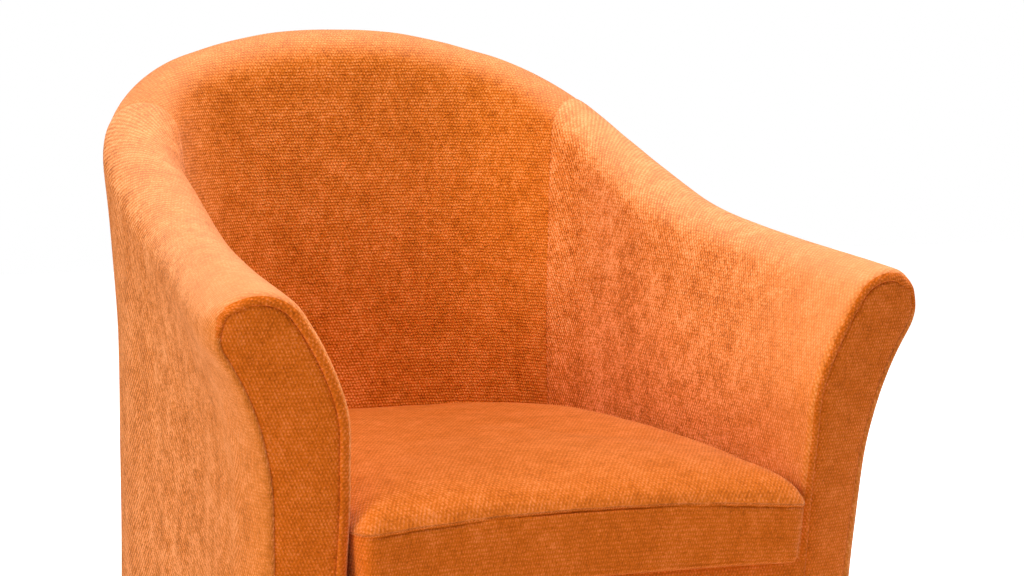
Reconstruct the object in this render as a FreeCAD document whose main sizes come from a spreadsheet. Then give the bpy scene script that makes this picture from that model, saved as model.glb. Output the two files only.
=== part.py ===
import FreeCAD, Part
import math
import os
import Sketcher
from FreeCAD import Vector

# Occasional chair: an upholstered tub chair with flared arms and a loose boxed seat cushion.
# Millimetres and degrees. +Z is up, the chair faces -Y, left and right are as seen from the front.
# The origin is on the floor, under the middle of the chair.

document = FreeCAD.newDocument("OccasionalChair")
sheet = document.addObject("Spreadsheet::Sheet", "Sizes")

SIZES = [
    # Whole chair
    ("overall_width", 770.0),
    ("overall_depth", 775.0),
    ("overall_height", 860.0),
    ("base_height", 150.0),
    # Plan of the wall that forms the arms and the back
    ("arm_thickness", 83.0),
    ("back_thickness", 88.0),
    ("side_run", 378.0),
    ("tub_roundness", 2.79),
    ("seam_share", 0.66),
    # Front ends of the arms, in degrees from upright and from square
    ("front_rake", 9.0),
    ("front_toe", 15.0),
    # Outward flare of the crest, at equal steps from the arm's tip to the back's middle
    ("flare_start", 400.0),
    ("tip_flare", 53.0),
    ("arm_flare", 27.0),
    ("elbow_flare", 7.0),
    ("shoulder_flare", 28.0),
    ("back_flare", 9.0),
    # Height of the crest, at equal steps from the arm's tip to the back's middle
    ("tip_crest", 613.0),
    ("arm_crest", 638.0),
    ("elbow_crest", 671.0),
    ("wing_crest", 737.0),
    ("shoulder_crest", 831.0),
    # Layers of the wall, from the outside in
    ("cover_thickness", 2.0),
    ("outside_wadding", 6.0),
    ("frame_thickness", 25.0),
    ("lining_thickness", 4.0),
    ("rim_foam", 28.0),
    ("layer_gap", 0.2),
    # Timber frame
    ("top_rail_height", 40.0),
    ("base_rail_height", 128.0),
    ("post_width", 45.0),
    ("slat_width", 32.0),
    ("slat_share", 0.858),
    ("front_board_thickness", 18.0),
    ("front_board_margin", 14.0),
    ("corner_block_size", 80.0),
    ("corner_block_height", 45.0),
    # Front of the arms and of the seat
    ("front_wadding", 10.0),
    ("panel_gap", 0.4),
    ("border_recess", 6.0),
    # Seat deck
    ("dust_cover_thickness", 1.2),
    ("spring_wire", 3.8),
    ("spring_pitch", 24.0),
    ("spring_width", 46.0),
    ("spring_spacing", 84.0),
    ("clip_length", 18.0),
    ("clip_width", 20.0),
    ("clip_thickness", 1.6),
    ("insulator_thickness", 6.0),
    ("deck_foam_thickness", 27.0),
    ("deck_cloth_thickness", 1.4),
    ("deck_clearance", 0.4),
    # Legs
    ("leg_top_width", 48.0),
    ("leg_foot_width", 32.0),
    ("leg_edge_radius", 5.0),
    ("front_leg_inset", 10.5),
    ("front_leg_setback", 46.0),
    ("rear_leg_share", 0.645),
    ("rear_leg_inset", 52.0),
    ("glide_diameter", 24.0),
    ("glide_thickness", 5.0),
    ("glide_pin_diameter", 5.0),
    ("glide_pin_length", 14.0),
    ("leg_plate_size", 60.0),
    ("leg_plate_thickness", 2.5),
    ("leg_bolt_diameter", 8.0),
    ("leg_bolt_depth", 34.0),
    ("bolt_clearance", 0.1),
    # Loose seat cushion
    ("cushion_lift", 0.3),
    ("cushion_clearance", 4.0),
    ("cushion_overhang", 19.0),
    ("cushion_border", 61.0),
    ("cushion_crown", 50.0),
    ("cushion_corner", 22.0),
    ("cushion_tuck", 7.0),
    ("cushion_pull_in", 3.0),
    ("cushion_cloth", 1.5),
    # Zip in the cushion's back border
    ("zip_end_margin", 15.0),
    ("zip_tape_height", 24.0),
    ("zip_tape_thickness", 0.6),
    ("zip_chain_height", 5.0),
    ("zip_chain_thickness", 1.2),
    ("zip_slider_length", 12.0),
    ("zip_slider_height", 10.0),
    ("zip_slider_thickness", 3.4),
    ("zip_clearance", 0.3),
    ("zip_seat_gap", 0.05),
    ("zip_stop_length", 3.0),
    # One overrun for all cuts
    ("overrun", 20.0),
]

for row, (alias, value) in enumerate(SIZES, start=1):
    sheet.set("A%d" % row, alias)
    sheet.set("B%d" % row, str(value))
    sheet.setAlias("B%d" % row, alias)
document.recompute()

HALF = 0.5
QUARTER_TURN = 90.0


def size(alias):
    """Value of a driving dimension, from the sheet."""
    return float(sheet.get(alias))


def spread(first, last, count):
    """Evenly spaced values from the first to the last."""
    return [first + (last - first) * index / (count - 1) for index in range(count)]


# Heights that follow from the driving dimensions
rail_bottom = size("base_height") + size("dust_cover_thickness")
rail_top = rail_bottom + size("base_rail_height")
spring_height = rail_top + size("clip_thickness") + size("spring_wire") * HALF
insulator_bottom = spring_height + size("spring_wire") * HALF
deck_foam_bottom = insulator_bottom + size("insulator_thickness")
deck_cloth_bottom = deck_foam_bottom + size("deck_foam_thickness")
deck_top = deck_cloth_bottom + size("deck_cloth_thickness")
arm_half_run = (size("overall_width") - size("arm_thickness")) * HALF - size("tip_flare")
rake = math.tan(math.radians(size("front_rake")))
toe = math.tan(math.radians(size("front_toe")))
front_slant = math.sqrt(1.0 + rake ** 2 + toe ** 2)


def smooth_step(values, share):
    """Smooth curve through values at equal steps of a share from 0 to 1, without overshoot."""
    last = len(values) - 1
    place = share * last
    index = min(max(int(math.floor(place)), 0), last - 1)
    part = place - index
    rises = [after - before for before, after in zip(values, values[1:])]

    def slope(knot):
        if knot == 0:
            return rises[0]
        if knot == last:
            return 0.0
        before, after = rises[knot - 1], rises[knot]
        return 2.0 * before * after / (before + after) if before * after > 0.0 else 0.0

    if part < 0.0:
        return values[0] + slope(0) * part
    rise = rises[index]
    bend = 3.0 * rise - 2.0 * slope(index) - slope(index + 1)
    twist = slope(index) + slope(index + 1) - 2.0 * rise
    return values[index] + part * (slope(index) + part * (bend + part * twist))


def flare_at(share):
    """How far the wall's middle has leaned outwards at the crest."""
    names = ["tip_flare", "arm_flare", "elbow_flare", "shoulder_flare", "back_flare"]
    return smooth_step([size(name) for name in names], share)


def crest_at(share):
    """Height of the crest above the floor."""
    names = ["tip_crest", "arm_crest", "elbow_crest", "wing_crest", "shoulder_crest", "overall_height"]
    return smooth_step([size(name) for name in names], share)


def thickness_at(share):
    """Thickness of the wall, covers included."""
    return size("arm_thickness") + (size("back_thickness") - size("arm_thickness")) * max(share, 0.0)


def front_reach():
    """How far the foremost point of the raked and toed arm front stands before its reference point."""
    flare, crest, thick = flare_at(0.0), crest_at(0.0), thickness_at(0.0)
    rise = crest - thick * HALF - size("flare_start")
    turn = 2.0 * math.atan2(flare, rise)
    radius = rise / math.sin(turn) + thick * HALF
    reaches = []
    for angle in spread(0.0, turn, 41):
        side = radius * (1.0 - math.cos(angle)) - thick * HALF
        reaches.append(rake * radius * math.sin(angle) - toe * side)
    return max(reaches)


# Where the wall's middle runs in plan: straight along each arm, then round the back
arm_front = -size("overall_depth") * HALF + front_reach()
curve_start = arm_front + size("side_run")
curve_back = size("overall_depth") * HALF - size("back_flare") - size("back_thickness") * HALF


def curve_point(angle):
    """Point on the quarter curve of the tub, from the arm's end at 0 to the back's middle at 90 degrees."""
    power = 2.0 / size("tub_roundness")
    across = arm_half_run * math.cos(angle) ** power
    along = curve_start + (curve_back - curve_start) * math.sin(angle) ** power
    return across, along


curve_points = [(arm_half_run, curve_start)]
curve_points += [curve_point(angle) for angle in spread(0.0, math.pi * HALF, 301)[1:-1]]
curve_points += [(0.0, curve_back)]
curve_lengths = [0.0]
for start, end in zip(curve_points, curve_points[1:]):
    curve_lengths.append(curve_lengths[-1] + math.hypot(end[0] - start[0], end[1] - start[1]))
path_length = size("side_run") + curve_lengths[-1]
straight_share = size("side_run") / path_length


def path_at(share):
    """Point and outward normal of the wall's middle in plan, at a share of the way to the back's middle."""
    run = share * path_length - size("side_run")
    if run <= 0.0:
        return (arm_half_run, curve_start + run), (1.0, 0.0)
    index = 1
    while index < len(curve_lengths) - 1 and curve_lengths[index] < run:
        index += 1
    part = (run - curve_lengths[index - 1]) / (curve_lengths[index] - curve_lengths[index - 1])
    start, end = curve_points[index - 1], curve_points[index]
    x = start[0] + (end[0] - start[0]) * part
    y = start[1] + (end[1] - start[1]) * part
    power = size("tub_roundness") - 1.0
    across = (max(x, 0.0) / arm_half_run) ** power / arm_half_run
    along = (max(y - curve_start, 0.0) / (curve_back - curve_start)) ** power / (curve_back - curve_start)
    length = math.hypot(across, along)
    return (x, y), (across / length, along / length)


class Rib:
    """Upright section of the wall, square to its path. Shares past 1 are on the left side."""

    def __init__(self, share):
        near = share if share <= 1.0 else 2.0 - share
        self.side = 1.0 if share <= 1.0 else -1.0
        self.place, self.normal = path_at(near)
        self.half = thickness_at(near) * HALF
        self.flare = flare_at(near)
        self.bend_start = size("flare_start")
        self.middle_top = crest_at(near) - self.half
        rise = self.middle_top - self.bend_start
        self.turn = 2.0 * math.atan2(self.flare, rise)
        self.radius = rise / math.sin(self.turn)
        gap = size("layer_gap")
        self.cover_in = self.half - size("cover_thickness")
        self.outer_pad = self.cover_in - gap
        self.wadding_in = self.outer_pad - size("outside_wadding")
        self.frame_out = self.wadding_in - gap
        self.frame_in = self.frame_out - size("frame_thickness")
        self.lining_out = self.frame_in - gap
        self.lining_in = self.lining_out - size("lining_thickness")
        self.foam_out = self.lining_in - gap
        self.inner_pad = -self.outer_pad
        self.rail_past = self.half - size("rim_foam")
        self.rail_low = 1.0 - (size("top_rail_height") - self.rail_past) / (self.radius * self.turn)
        self.board_top = self.rail_low - gap / (self.radius * self.turn)

    def point(self, out, height):
        """A place at an offset outwards from the wall's middle, at a height."""
        x = self.place[0] + self.normal[0] * out
        y = self.place[1] + self.normal[1] * out
        return Vector(self.side * x, y, height)

    def bend(self, out, share):
        """A place on the flare's arc, at a share of its turn."""
        angle = self.turn * share
        radius = self.radius - out
        return self.point(self.radius - radius * math.cos(angle), self.bend_start + radius * math.sin(angle))

    def past(self, out, length):
        """A place straight on past the end of the flare's arc."""
        radius = self.radius - out
        across = self.radius - radius * math.cos(self.turn) + length * math.sin(self.turn)
        climb = radius * math.sin(self.turn) + length * math.cos(self.turn)
        return self.point(across, self.bend_start + climb)

    def crest(self, radius, angle):
        """A place on the round of the crest, from -90 degrees inside to 90 outside."""
        slant = math.radians(angle)
        return self.past(radius * math.sin(slant), radius * math.cos(slant))


class Pen:
    """Draws a closed outline of lines and arcs."""

    def __init__(self, start):
        self.first = start
        self.last = start
        self.edges = []

    def line(self, end):
        self.edges.append(Part.LineSegment(self.last, end).toShape())
        self.last = end

    def arc(self, middle, end):
        self.edges.append(Part.Arc(self.last, middle, end).toShape())
        self.last = end

    def close(self):
        self.line(self.first)
        return Part.Wire(self.edges)

    def climb(self, rib, out, top=1.0):
        self.line(rib.bend(out, 0.0))
        self.arc(rib.bend(out, top * HALF), rib.bend(out, top))

    def along_bend(self, rib, out, first, last):
        self.arc(rib.bend(out, (first + last) * HALF), rib.bend(out, last))

    def descend(self, rib, out, bottom, top=1.0):
        self.arc(rib.bend(out, top * HALF), rib.bend(out, 0.0))
        self.line(rib.point(out, bottom))

    def over_crest(self, rib, radius, outwards=True):
        end = QUARTER_TURN if outwards else -QUARTER_TURN
        self.arc(rib.crest(radius, -end * HALF), rib.crest(radius, 0.0))
        self.arc(rib.crest(radius, end * HALF), rib.crest(radius, end))


def loft(wires):
    """Smooth solid through closed outlines."""
    return Part.makeLoft(wires, True, False)


def wall_piece(section, shares):
    """Solid of a section drawn at each rib."""
    return loft([section(Rib(share)) for share in shares])


def feature(name, shape):
    """Document object that holds a finished shape."""
    item = document.addObject("Part::Feature", name)
    item.Label = name
    item.Shape = shape
    return item


def mirrored(name, source):
    """The same piece on the chair's left side."""
    item = document.addObject("Part::Mirroring", name)
    item.Label = name
    item.Source = source
    item.Base = Vector(0, 0, 0)
    item.Normal = Vector(1, 0, 0)
    return item


pieces = []


def keep(*items):
    """Lists pieces that are written to files of their own."""
    pieces.extend(items)
    return items[0]


# Shares of the path at which the wall is drawn
fore_share = -2.0 * (front_reach() + size("overrun")) / path_length
curve_side_shares = spread(straight_share, size("seam_share"), 8)
arm_shares = [fore_share] + spread(0.0, straight_share, 7)[:-1] + curve_side_shares
tip_shares = arm_shares[:5]
back_shares = spread(size("seam_share"), 2.0 - size("seam_share"), 21)
base_shares = curve_side_shares[:-1] + back_shares + [2.0 - share for share in curve_side_shares[-2::-1]]


def front_y(x, height, depth=0.0):
    """Where the raked and toed front plane of an arm stands, or a plane behind it by a depth."""
    rise = height - size("flare_start")
    return arm_front - rake * rise + toe * (abs(x) - arm_half_run) + depth * front_slant


def front_slab(near, far):
    """Slab of the right arm's front between two depths behind its plane. No near depth means open."""
    low_x, high_x = 0.0, size("overall_width")
    low_z, high_z = -size("overrun"), size("overall_height") + size("overrun")
    corners = [(low_x, low_z), (high_x, low_z), (high_x, high_z), (low_x, high_z)]
    start = -size("overall_depth") if near is None else near
    face = Part.Face(Part.makePolygon(
        [Vector(x, front_y(x, z, start), z) for x, z in corners + corners[:1]]))
    return face.extrude(Vector(0, (far - start) * front_slant, 0))


def trimmed(shape, depth):
    """Shape cut back to a plane behind the right arm's front."""
    return shape.cut(front_slab(None, depth))


# Covers of the wall

def cover_section(rib):
    pen = Pen(rib.point(-rib.half, insulator_bottom))
    pen.climb(rib, -rib.half)
    pen.over_crest(rib, rib.half)
    pen.descend(rib, rib.half, size("base_height"))
    pen.line(rib.point(rib.cover_in, size("base_height")))
    pen.climb(rib, rib.cover_in)
    pen.over_crest(rib, rib.cover_in, False)
    pen.descend(rib, -rib.cover_in, insulator_bottom)
    return pen.close()


def inside_back_section(rib):
    pen = Pen(rib.point(-rib.half, insulator_bottom))
    pen.climb(rib, -rib.half)
    pen.over_crest(rib, rib.half)
    pen.line(rib.crest(rib.cover_in, QUARTER_TURN))
    pen.over_crest(rib, rib.cover_in, False)
    pen.descend(rib, -rib.cover_in, insulator_bottom)
    return pen.close()


def outside_back_section(rib):
    pen = Pen(rib.point(rib.cover_in, size("base_height")))
    pen.climb(rib, rib.cover_in)
    pen.line(rib.bend(rib.half, 1.0))
    pen.descend(rib, rib.half, size("base_height"))
    return pen.close()


arm_cover_right = feature("arm_cover_right", trimmed(wall_piece(cover_section, arm_shares), 0.0))
arm_cover_left = mirrored("arm_cover_left", arm_cover_right)
inside_back_cover = feature("inside_back_cover", wall_piece(inside_back_section, back_shares))
outside_back_cover = feature("outside_back_cover", wall_piece(outside_back_section, back_shares))
keep(arm_cover_right, arm_cover_left, inside_back_cover, outside_back_cover)


# Front ends of the arms: panel cover, wadding and the board behind them

def end_section(margin):
    """Outline of the arm's end, drawn in by a margin."""

    def section(rib):
        pen = Pen(rib.point(margin - rib.half, size("base_height")))
        pen.climb(rib, margin - rib.half)
        pen.over_crest(rib, rib.half - margin)
        pen.descend(rib, rib.half - margin, size("base_height"))
        return pen.close()

    return section


def end_piece(margin, near, far, bottom):
    """Flat piece of the arm's end between two depths."""
    block = wall_piece(end_section(margin), tip_shares)
    below = Part.makeBox(
        size("overall_width"), size("overall_depth"), bottom,
        Vector(0, -size("overall_depth"), 0))
    return block.common(front_slab(near, far)).cut(below)


panel_back = size("cover_thickness")
panel_margin = size("cover_thickness") + size("panel_gap")
wadding_back = panel_back + size("front_wadding")
board_back = wadding_back + size("front_board_thickness")
arm_front_panel_right = feature(
    "arm_front_panel_right", end_piece(panel_margin, 0.0, panel_back, size("base_height")))
arm_front_wadding_right = feature(
    "arm_front_wadding_right", end_piece(panel_margin, panel_back, wadding_back, rail_bottom))
arm_front_board_right = feature(
    "arm_front_board_right",
    end_piece(size("front_board_margin"), wadding_back, board_back, rail_bottom))
arm_front_panel_left = mirrored("arm_front_panel_left", arm_front_panel_right)
arm_front_wadding_left = mirrored("arm_front_wadding_left", arm_front_wadding_right)
arm_front_board_left = mirrored("arm_front_board_left", arm_front_board_right)
keep(arm_front_panel_right, arm_front_panel_left, arm_front_wadding_right)
keep(arm_front_wadding_left, arm_front_board_right, arm_front_board_left)


# Padding of the wall

def foam_section(rib):
    pen = Pen(rib.point(rib.inner_pad, insulator_bottom))
    pen.climb(rib, rib.inner_pad)
    pen.over_crest(rib, rib.outer_pad)
    pen.line(rib.bend(rib.wadding_in, 1.0))
    pen.line(rib.past(rib.wadding_in, rib.rail_past + size("layer_gap")))
    pen.line(rib.past(rib.foam_out, rib.rail_past + size("layer_gap")))
    pen.line(rib.bend(rib.foam_out, 1.0))
    pen.descend(rib, rib.foam_out, insulator_bottom)
    return pen.close()


def outside_wadding_section(rib):
    top = 1.0 - size("layer_gap") / (rib.radius * rib.turn)
    pen = Pen(rib.point(rib.wadding_in, rail_bottom))
    pen.climb(rib, rib.wadding_in, top)
    pen.line(rib.bend(rib.outer_pad, top))
    pen.descend(rib, rib.outer_pad, rail_bottom, top)
    return pen.close()


arm_foam = trimmed(wall_piece(foam_section, arm_shares), wadding_back)
arm_foam_right = feature("arm_foam_right", arm_foam.cut(arm_front_board_right.Shape))
arm_foam_left = mirrored("arm_foam_left", arm_foam_right)
back_foam = feature("back_foam", wall_piece(foam_section, back_shares))
arm_wadding_right = feature(
    "arm_wadding_right", trimmed(wall_piece(outside_wadding_section, arm_shares), wadding_back))
arm_wadding_left = mirrored("arm_wadding_left", arm_wadding_right)
back_wadding = feature("back_wadding", wall_piece(outside_wadding_section, back_shares))
keep(arm_foam_right, arm_foam_left, back_foam, arm_wadding_right, arm_wadding_left, back_wadding)


# Timber frame and lining boards

def top_rail_section(rib):
    pen = Pen(rib.bend(rib.lining_in, rib.rail_low))
    pen.along_bend(rib, rib.lining_in, rib.rail_low, 1.0)
    pen.line(rib.past(rib.lining_in, rib.rail_past))
    pen.line(rib.past(rib.frame_out, rib.rail_past))
    pen.line(rib.bend(rib.frame_out, 1.0))
    pen.along_bend(rib, rib.frame_out, 1.0, rib.rail_low)
    return pen.close()


def lining_section(rib):
    pen = Pen(rib.point(rib.lining_in, insulator_bottom))
    pen.climb(rib, rib.lining_in, rib.board_top)
    pen.line(rib.bend(rib.lining_out, rib.board_top))
    pen.descend(rib, rib.lining_out, insulator_bottom, rib.board_top)
    return pen.close()


def post_section(rib):
    pen = Pen(rib.point(rib.frame_in, rail_top))
    pen.climb(rib, rib.frame_in, rib.board_top)
    pen.line(rib.bend(rib.frame_out, rib.board_top))
    pen.descend(rib, rib.frame_out, rail_top, rib.board_top)
    return pen.close()


def base_rail_section(rib):
    pen = Pen(rib.point(rib.frame_in, rail_bottom))
    pen.line(rib.point(rib.frame_out, rail_bottom))
    pen.line(rib.point(rib.frame_out, rail_top))
    pen.line(rib.point(rib.frame_in, rail_top))
    return pen.close()


def shares_about(middle, width):
    """Shares at the two edges and the middle of an upright piece."""
    reach = width * HALF / path_length
    return [middle - reach, middle, middle + reach]


arm_top_rail_right = feature(
    "arm_top_rail_right", trimmed(wall_piece(top_rail_section, arm_shares), board_back))
arm_top_rail_left = mirrored("arm_top_rail_left", arm_top_rail_right)
back_top_rail = feature("back_top_rail", wall_piece(top_rail_section, back_shares))
arm_lining_right = feature(
    "arm_lining_right", trimmed(wall_piece(lining_section, arm_shares), board_back))
arm_lining_left = mirrored("arm_lining_left", arm_lining_right)
back_lining = feature("back_lining", wall_piece(lining_section, back_shares))
side_rail_right = feature("side_rail_right", trimmed(
    wall_piece(base_rail_section, [fore_share, 0.0, straight_share]), board_back))
side_rail_left = mirrored("side_rail_left", side_rail_right)
back_rail = feature("back_rail", wall_piece(base_rail_section, base_shares))
post_share = size("seam_share") + size("post_width") * HALF / path_length
back_post_right = feature("back_post_right", wall_piece(
    post_section, shares_about(post_share, size("post_width"))))
back_post_left = mirrored("back_post_left", back_post_right)
slat_shares = shares_about(size("slat_share"), size("slat_width"))
back_slat_right = feature("back_slat_right", wall_piece(post_section, slat_shares))
back_slat_left = mirrored("back_slat_left", back_slat_right)
keep(arm_top_rail_right, arm_top_rail_left, back_top_rail)
keep(arm_lining_right, arm_lining_left, back_lining)
keep(side_rail_right, side_rail_left, back_rail)
keep(back_post_right, back_post_left, back_slat_right, back_slat_left)


# Front border of the seat, between the arms

def border_y(height, depth=0.0):
    """Raked front plane of the seat's border, or a plane behind it by a depth."""
    inner_edge = arm_half_run - size("arm_thickness") * HALF
    slant = math.sqrt(1.0 + rake ** 2)
    return front_y(inner_edge, height) + size("border_recess") + depth * slant


def bar_across(half_width, corners):
    """Straight bar between the arms, from its corners as (y, height)."""
    points = [Vector(-half_width, y, z) for y, z in corners + corners[:1]]
    return Part.Face(Part.makePolygon(points)).extrude(Vector(2.0 * half_width, 0, 0))


seat_half = arm_half_run - size("arm_thickness") * HALF
frame_half = seat_half + size("front_board_margin") - size("layer_gap")
cover_back = size("cover_thickness")
rail_front = cover_back + size("front_wadding")
rail_back = rail_front + size("frame_thickness")
deck_front = border_y(rail_top, rail_front)
arm_covers = [arm_cover_right.Shape, arm_cover_right.Shape.mirror(Vector(0, 0, 0), Vector(1, 0, 0))]
front_border_cover = feature("front_border_cover", bar_across(seat_half + size("cover_thickness"), [
    (border_y(size("base_height")), size("base_height")),
    (border_y(deck_top), deck_top),
    (border_y(deck_top, cover_back), deck_top),
    (border_y(size("base_height"), cover_back), size("base_height"))]).cut(arm_covers))
front_border_wadding = feature("front_border_wadding", bar_across(seat_half + size("cover_thickness"), [
    (border_y(rail_bottom, cover_back), rail_bottom),
    (border_y(deck_top, cover_back), deck_top),
    (deck_front, deck_top),
    (deck_front, rail_top),
    (border_y(rail_bottom, rail_front), rail_bottom)]).cut(arm_covers))
front_rail = feature("front_rail", bar_across(frame_half, [
    (border_y(rail_bottom, rail_front), rail_bottom),
    (border_y(rail_top, rail_front), rail_top),
    (border_y(rail_top, rail_back), rail_top),
    (border_y(rail_bottom, rail_back), rail_bottom)]))
keep(front_border_cover, front_border_wadding, front_rail)


# Flat pieces that fill the tub in plan

# Shares of the curve at which the arcs of a flat outline meet, short of one last arc across the back
BACK_ARC_SHARE = 0.66
curve_shares = spread(0.0, BACK_ARC_SHARE, 7)


def deck_edge(rib):
    """Offset of the seat deck's edge, clear of the wall's inner face."""
    return -rib.half - size("deck_clearance")


def tub_outline(height, front, offset, corner=0.0):
    """Outline inside the wall: straight front and sides, and arcs round the back.

    The offset says how far each rib's outline stands from the wall's middle. A corner rounds the front."""

    def inside(share):
        rib = Rib(share)
        return rib.point(offset(rib), height)

    def on_curve(part):
        return inside(straight_share + (1.0 - straight_share) * part)

    def across(spot):
        return Vector(-spot.x, spot.y, spot.z)

    front_side = inside(0.0).x
    start = Vector(front_side, front + corner, height)
    pen = Pen(start)
    pen.line(on_curve(0.0))
    for middle, last in zip(curve_shares[1::2], curve_shares[2::2]):
        pen.arc(on_curve(middle), on_curve(last))
    pen.arc(on_curve(1.0), across(on_curve(curve_shares[-1])))
    for middle, last in zip(curve_shares[-2::-2], curve_shares[-3::-2]):
        pen.arc(across(on_curve(middle)), across(on_curve(last)))
    pen.line(across(start))
    if corner > 0.0:
        reach = corner * (1.0 - math.sqrt(HALF))
        near_side = front_side - reach
        pen.arc(Vector(-near_side, front + reach, height), Vector(corner - front_side, front, height))
        pen.line(Vector(front_side - corner, front, height))
        pen.arc(Vector(near_side, front + reach, height), start)
        return Part.Wire(pen.edges)
    return pen.close()


def tub_plate(bottom, thickness, front, offset=deck_edge):
    """Flat plate inside the wall."""
    return Part.Face(tub_outline(bottom, front, offset)).extrude(Vector(0, 0, thickness))


insulator = feature("spring_insulator", tub_plate(
    insulator_bottom, size("insulator_thickness"), deck_front))
deck_foam = feature("deck_foam", tub_plate(
    deck_foam_bottom, size("deck_foam_thickness"), deck_front))
deck_cloth = feature("deck_cloth", tub_plate(
    deck_cloth_bottom, size("deck_cloth_thickness"), deck_front))
keep(insulator, deck_foam, deck_cloth)


# Zigzag springs of the seat, with a clip at each end

spring_places = [step * size("spring_spacing") for step in (-2, -1, 0, 1, 2)]
spring_front = border_y(rail_top, (rail_front + rail_back) * HALF)


def rail_middle_y(x):
    """Where the middle of the back rail passes a distance to the side."""
    low, high = straight_share, 1.0
    for _ in range(40):
        middle = (low + high) * HALF
        rib = Rib(middle)
        if rib.point((rib.frame_in + rib.frame_out) * HALF, 0.0).x > abs(x):
            low = middle
        else:
            high = middle
    return rib.point((rib.frame_in + rib.frame_out) * HALF, 0.0).y


def spring(x):
    """One zigzag spring from the front rail to the back rail."""
    run = rail_middle_y(x) - spring_front
    count = 2 * int(run / size("spring_pitch")) + 1
    radius = run / (2.0 * count)
    reach = size("spring_width") * HALF - radius
    pen = Pen(Vector(x, spring_front, spring_height))
    side = 1.0
    y = spring_front
    for turn in range(count):
        pen.line(Vector(x + side * reach, y, spring_height))
        pen.arc(
            Vector(x + side * (reach + radius), y + radius, spring_height),
            Vector(x + side * reach, y + 2.0 * radius, spring_height))
        y += 2.0 * radius
        side = -side
    pen.line(Vector(x, y, spring_height))
    route = Part.Wire(pen.edges)
    wire = Part.Wire(Part.makeCircle(
        size("spring_wire") * HALF, Vector(x, spring_front, spring_height), Vector(1, 0, 0)))
    return route.makePipeShell([wire], True, False)


seat_springs = feature("seat_springs", Part.makeCompound([spring(x) for x in spring_places]))


def clip(x, y):
    """Flat steel clip under the end of a spring, on top of a rail."""
    length, width, thick = size("clip_length"), size("clip_width"), size("clip_thickness")
    return Part.makeBox(width, length, thick, Vector(x - width * HALF, y - length * HALF, rail_top))


clips = []
for x in spring_places:
    clips.append(clip(x, spring_front))
    clips.append(clip(x, rail_middle_y(x)))
spring_clips = feature("spring_clips", Part.makeCompound(clips))
keep(seat_springs, spring_clips)


# Legs, with their plates, bolts and glides

front_leg_y = border_y(rail_bottom) + size("front_leg_setback")
LEG_PLACES = [
    ("front_left", -1, "front"),
    ("front_right", 1, "front"),
    ("rear_left", -1, "rear"),
    ("rear_right", 1, "rear"),
]


def leg_place(side, end):
    """Middle of a leg in plan."""
    if end == "front":
        return side * (arm_half_run - size("front_leg_inset")), front_leg_y
    spot = Rib(size("rear_leg_share")).point(-size("rear_leg_inset"), 0.0)
    return side * spot.x, spot.y


leg_top = rail_bottom - size("leg_plate_thickness")
bolt_hole = size("leg_bolt_diameter") * HALF + size("bolt_clearance")


def cylinder(name, radius, height, x, y, z):
    """Upright cylinder with its radius and height bound to the sheet."""
    item = document.addObject("Part::Cylinder", name)
    item.setExpression("Radius", radius)
    item.setExpression("Height", height)
    item.Placement.Base = Vector(x, y, z)
    return item


def square_sketch(body, name, width_alias, height):
    """Sketch of a square about the leg's middle, its width bound to the sheet."""
    sketch = body.newObject("Sketcher::SketchObject", name)
    plane = [item for item in body.Origin.OriginFeatures if item.Role == "XY_Plane"][0]
    sketch.AttachmentSupport = (plane, [""])
    sketch.MapMode = "FlatFace"
    sketch.AttachmentOffset = FreeCAD.Placement(Vector(0, 0, height), FreeCAD.Rotation())
    reach = size(width_alias) * HALF
    corners = [(-reach, -reach), (reach, -reach), (reach, reach), (-reach, reach)]
    for start, end in zip(corners, corners[1:] + corners[:1]):
        sketch.addGeometry(Part.LineSegment(Vector(*start, 0), Vector(*end, 0)), False)
    for index in range(4):
        sketch.addConstraint(Sketcher.Constraint("Coincident", index, 2, (index + 1) % 4, 1))
    for index, kind in enumerate(["Horizontal", "Vertical", "Horizontal", "Vertical"]):
        sketch.addConstraint(Sketcher.Constraint(kind, index))
    sketch.addConstraint(Sketcher.Constraint("Symmetric", 0, 1, 1, 2, -1, 1))
    for kind, index in (("DistanceX", 0), ("DistanceY", 1)):
        number = sketch.addConstraint(Sketcher.Constraint(kind, index, 1, index, 2, 2.0 * reach))
        sketch.setExpression("Constraints[%d]" % number, "Sizes." + width_alias)
    return sketch


LEG_LENGTH = (
    "(Sizes.base_height + Sizes.dust_cover_thickness"
    " - Sizes.leg_plate_thickness - Sizes.glide_thickness)")
LEG_TAPER = "-atan((Sizes.leg_top_width - Sizes.leg_foot_width) / 2 / " + LEG_LENGTH + ")"


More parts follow.
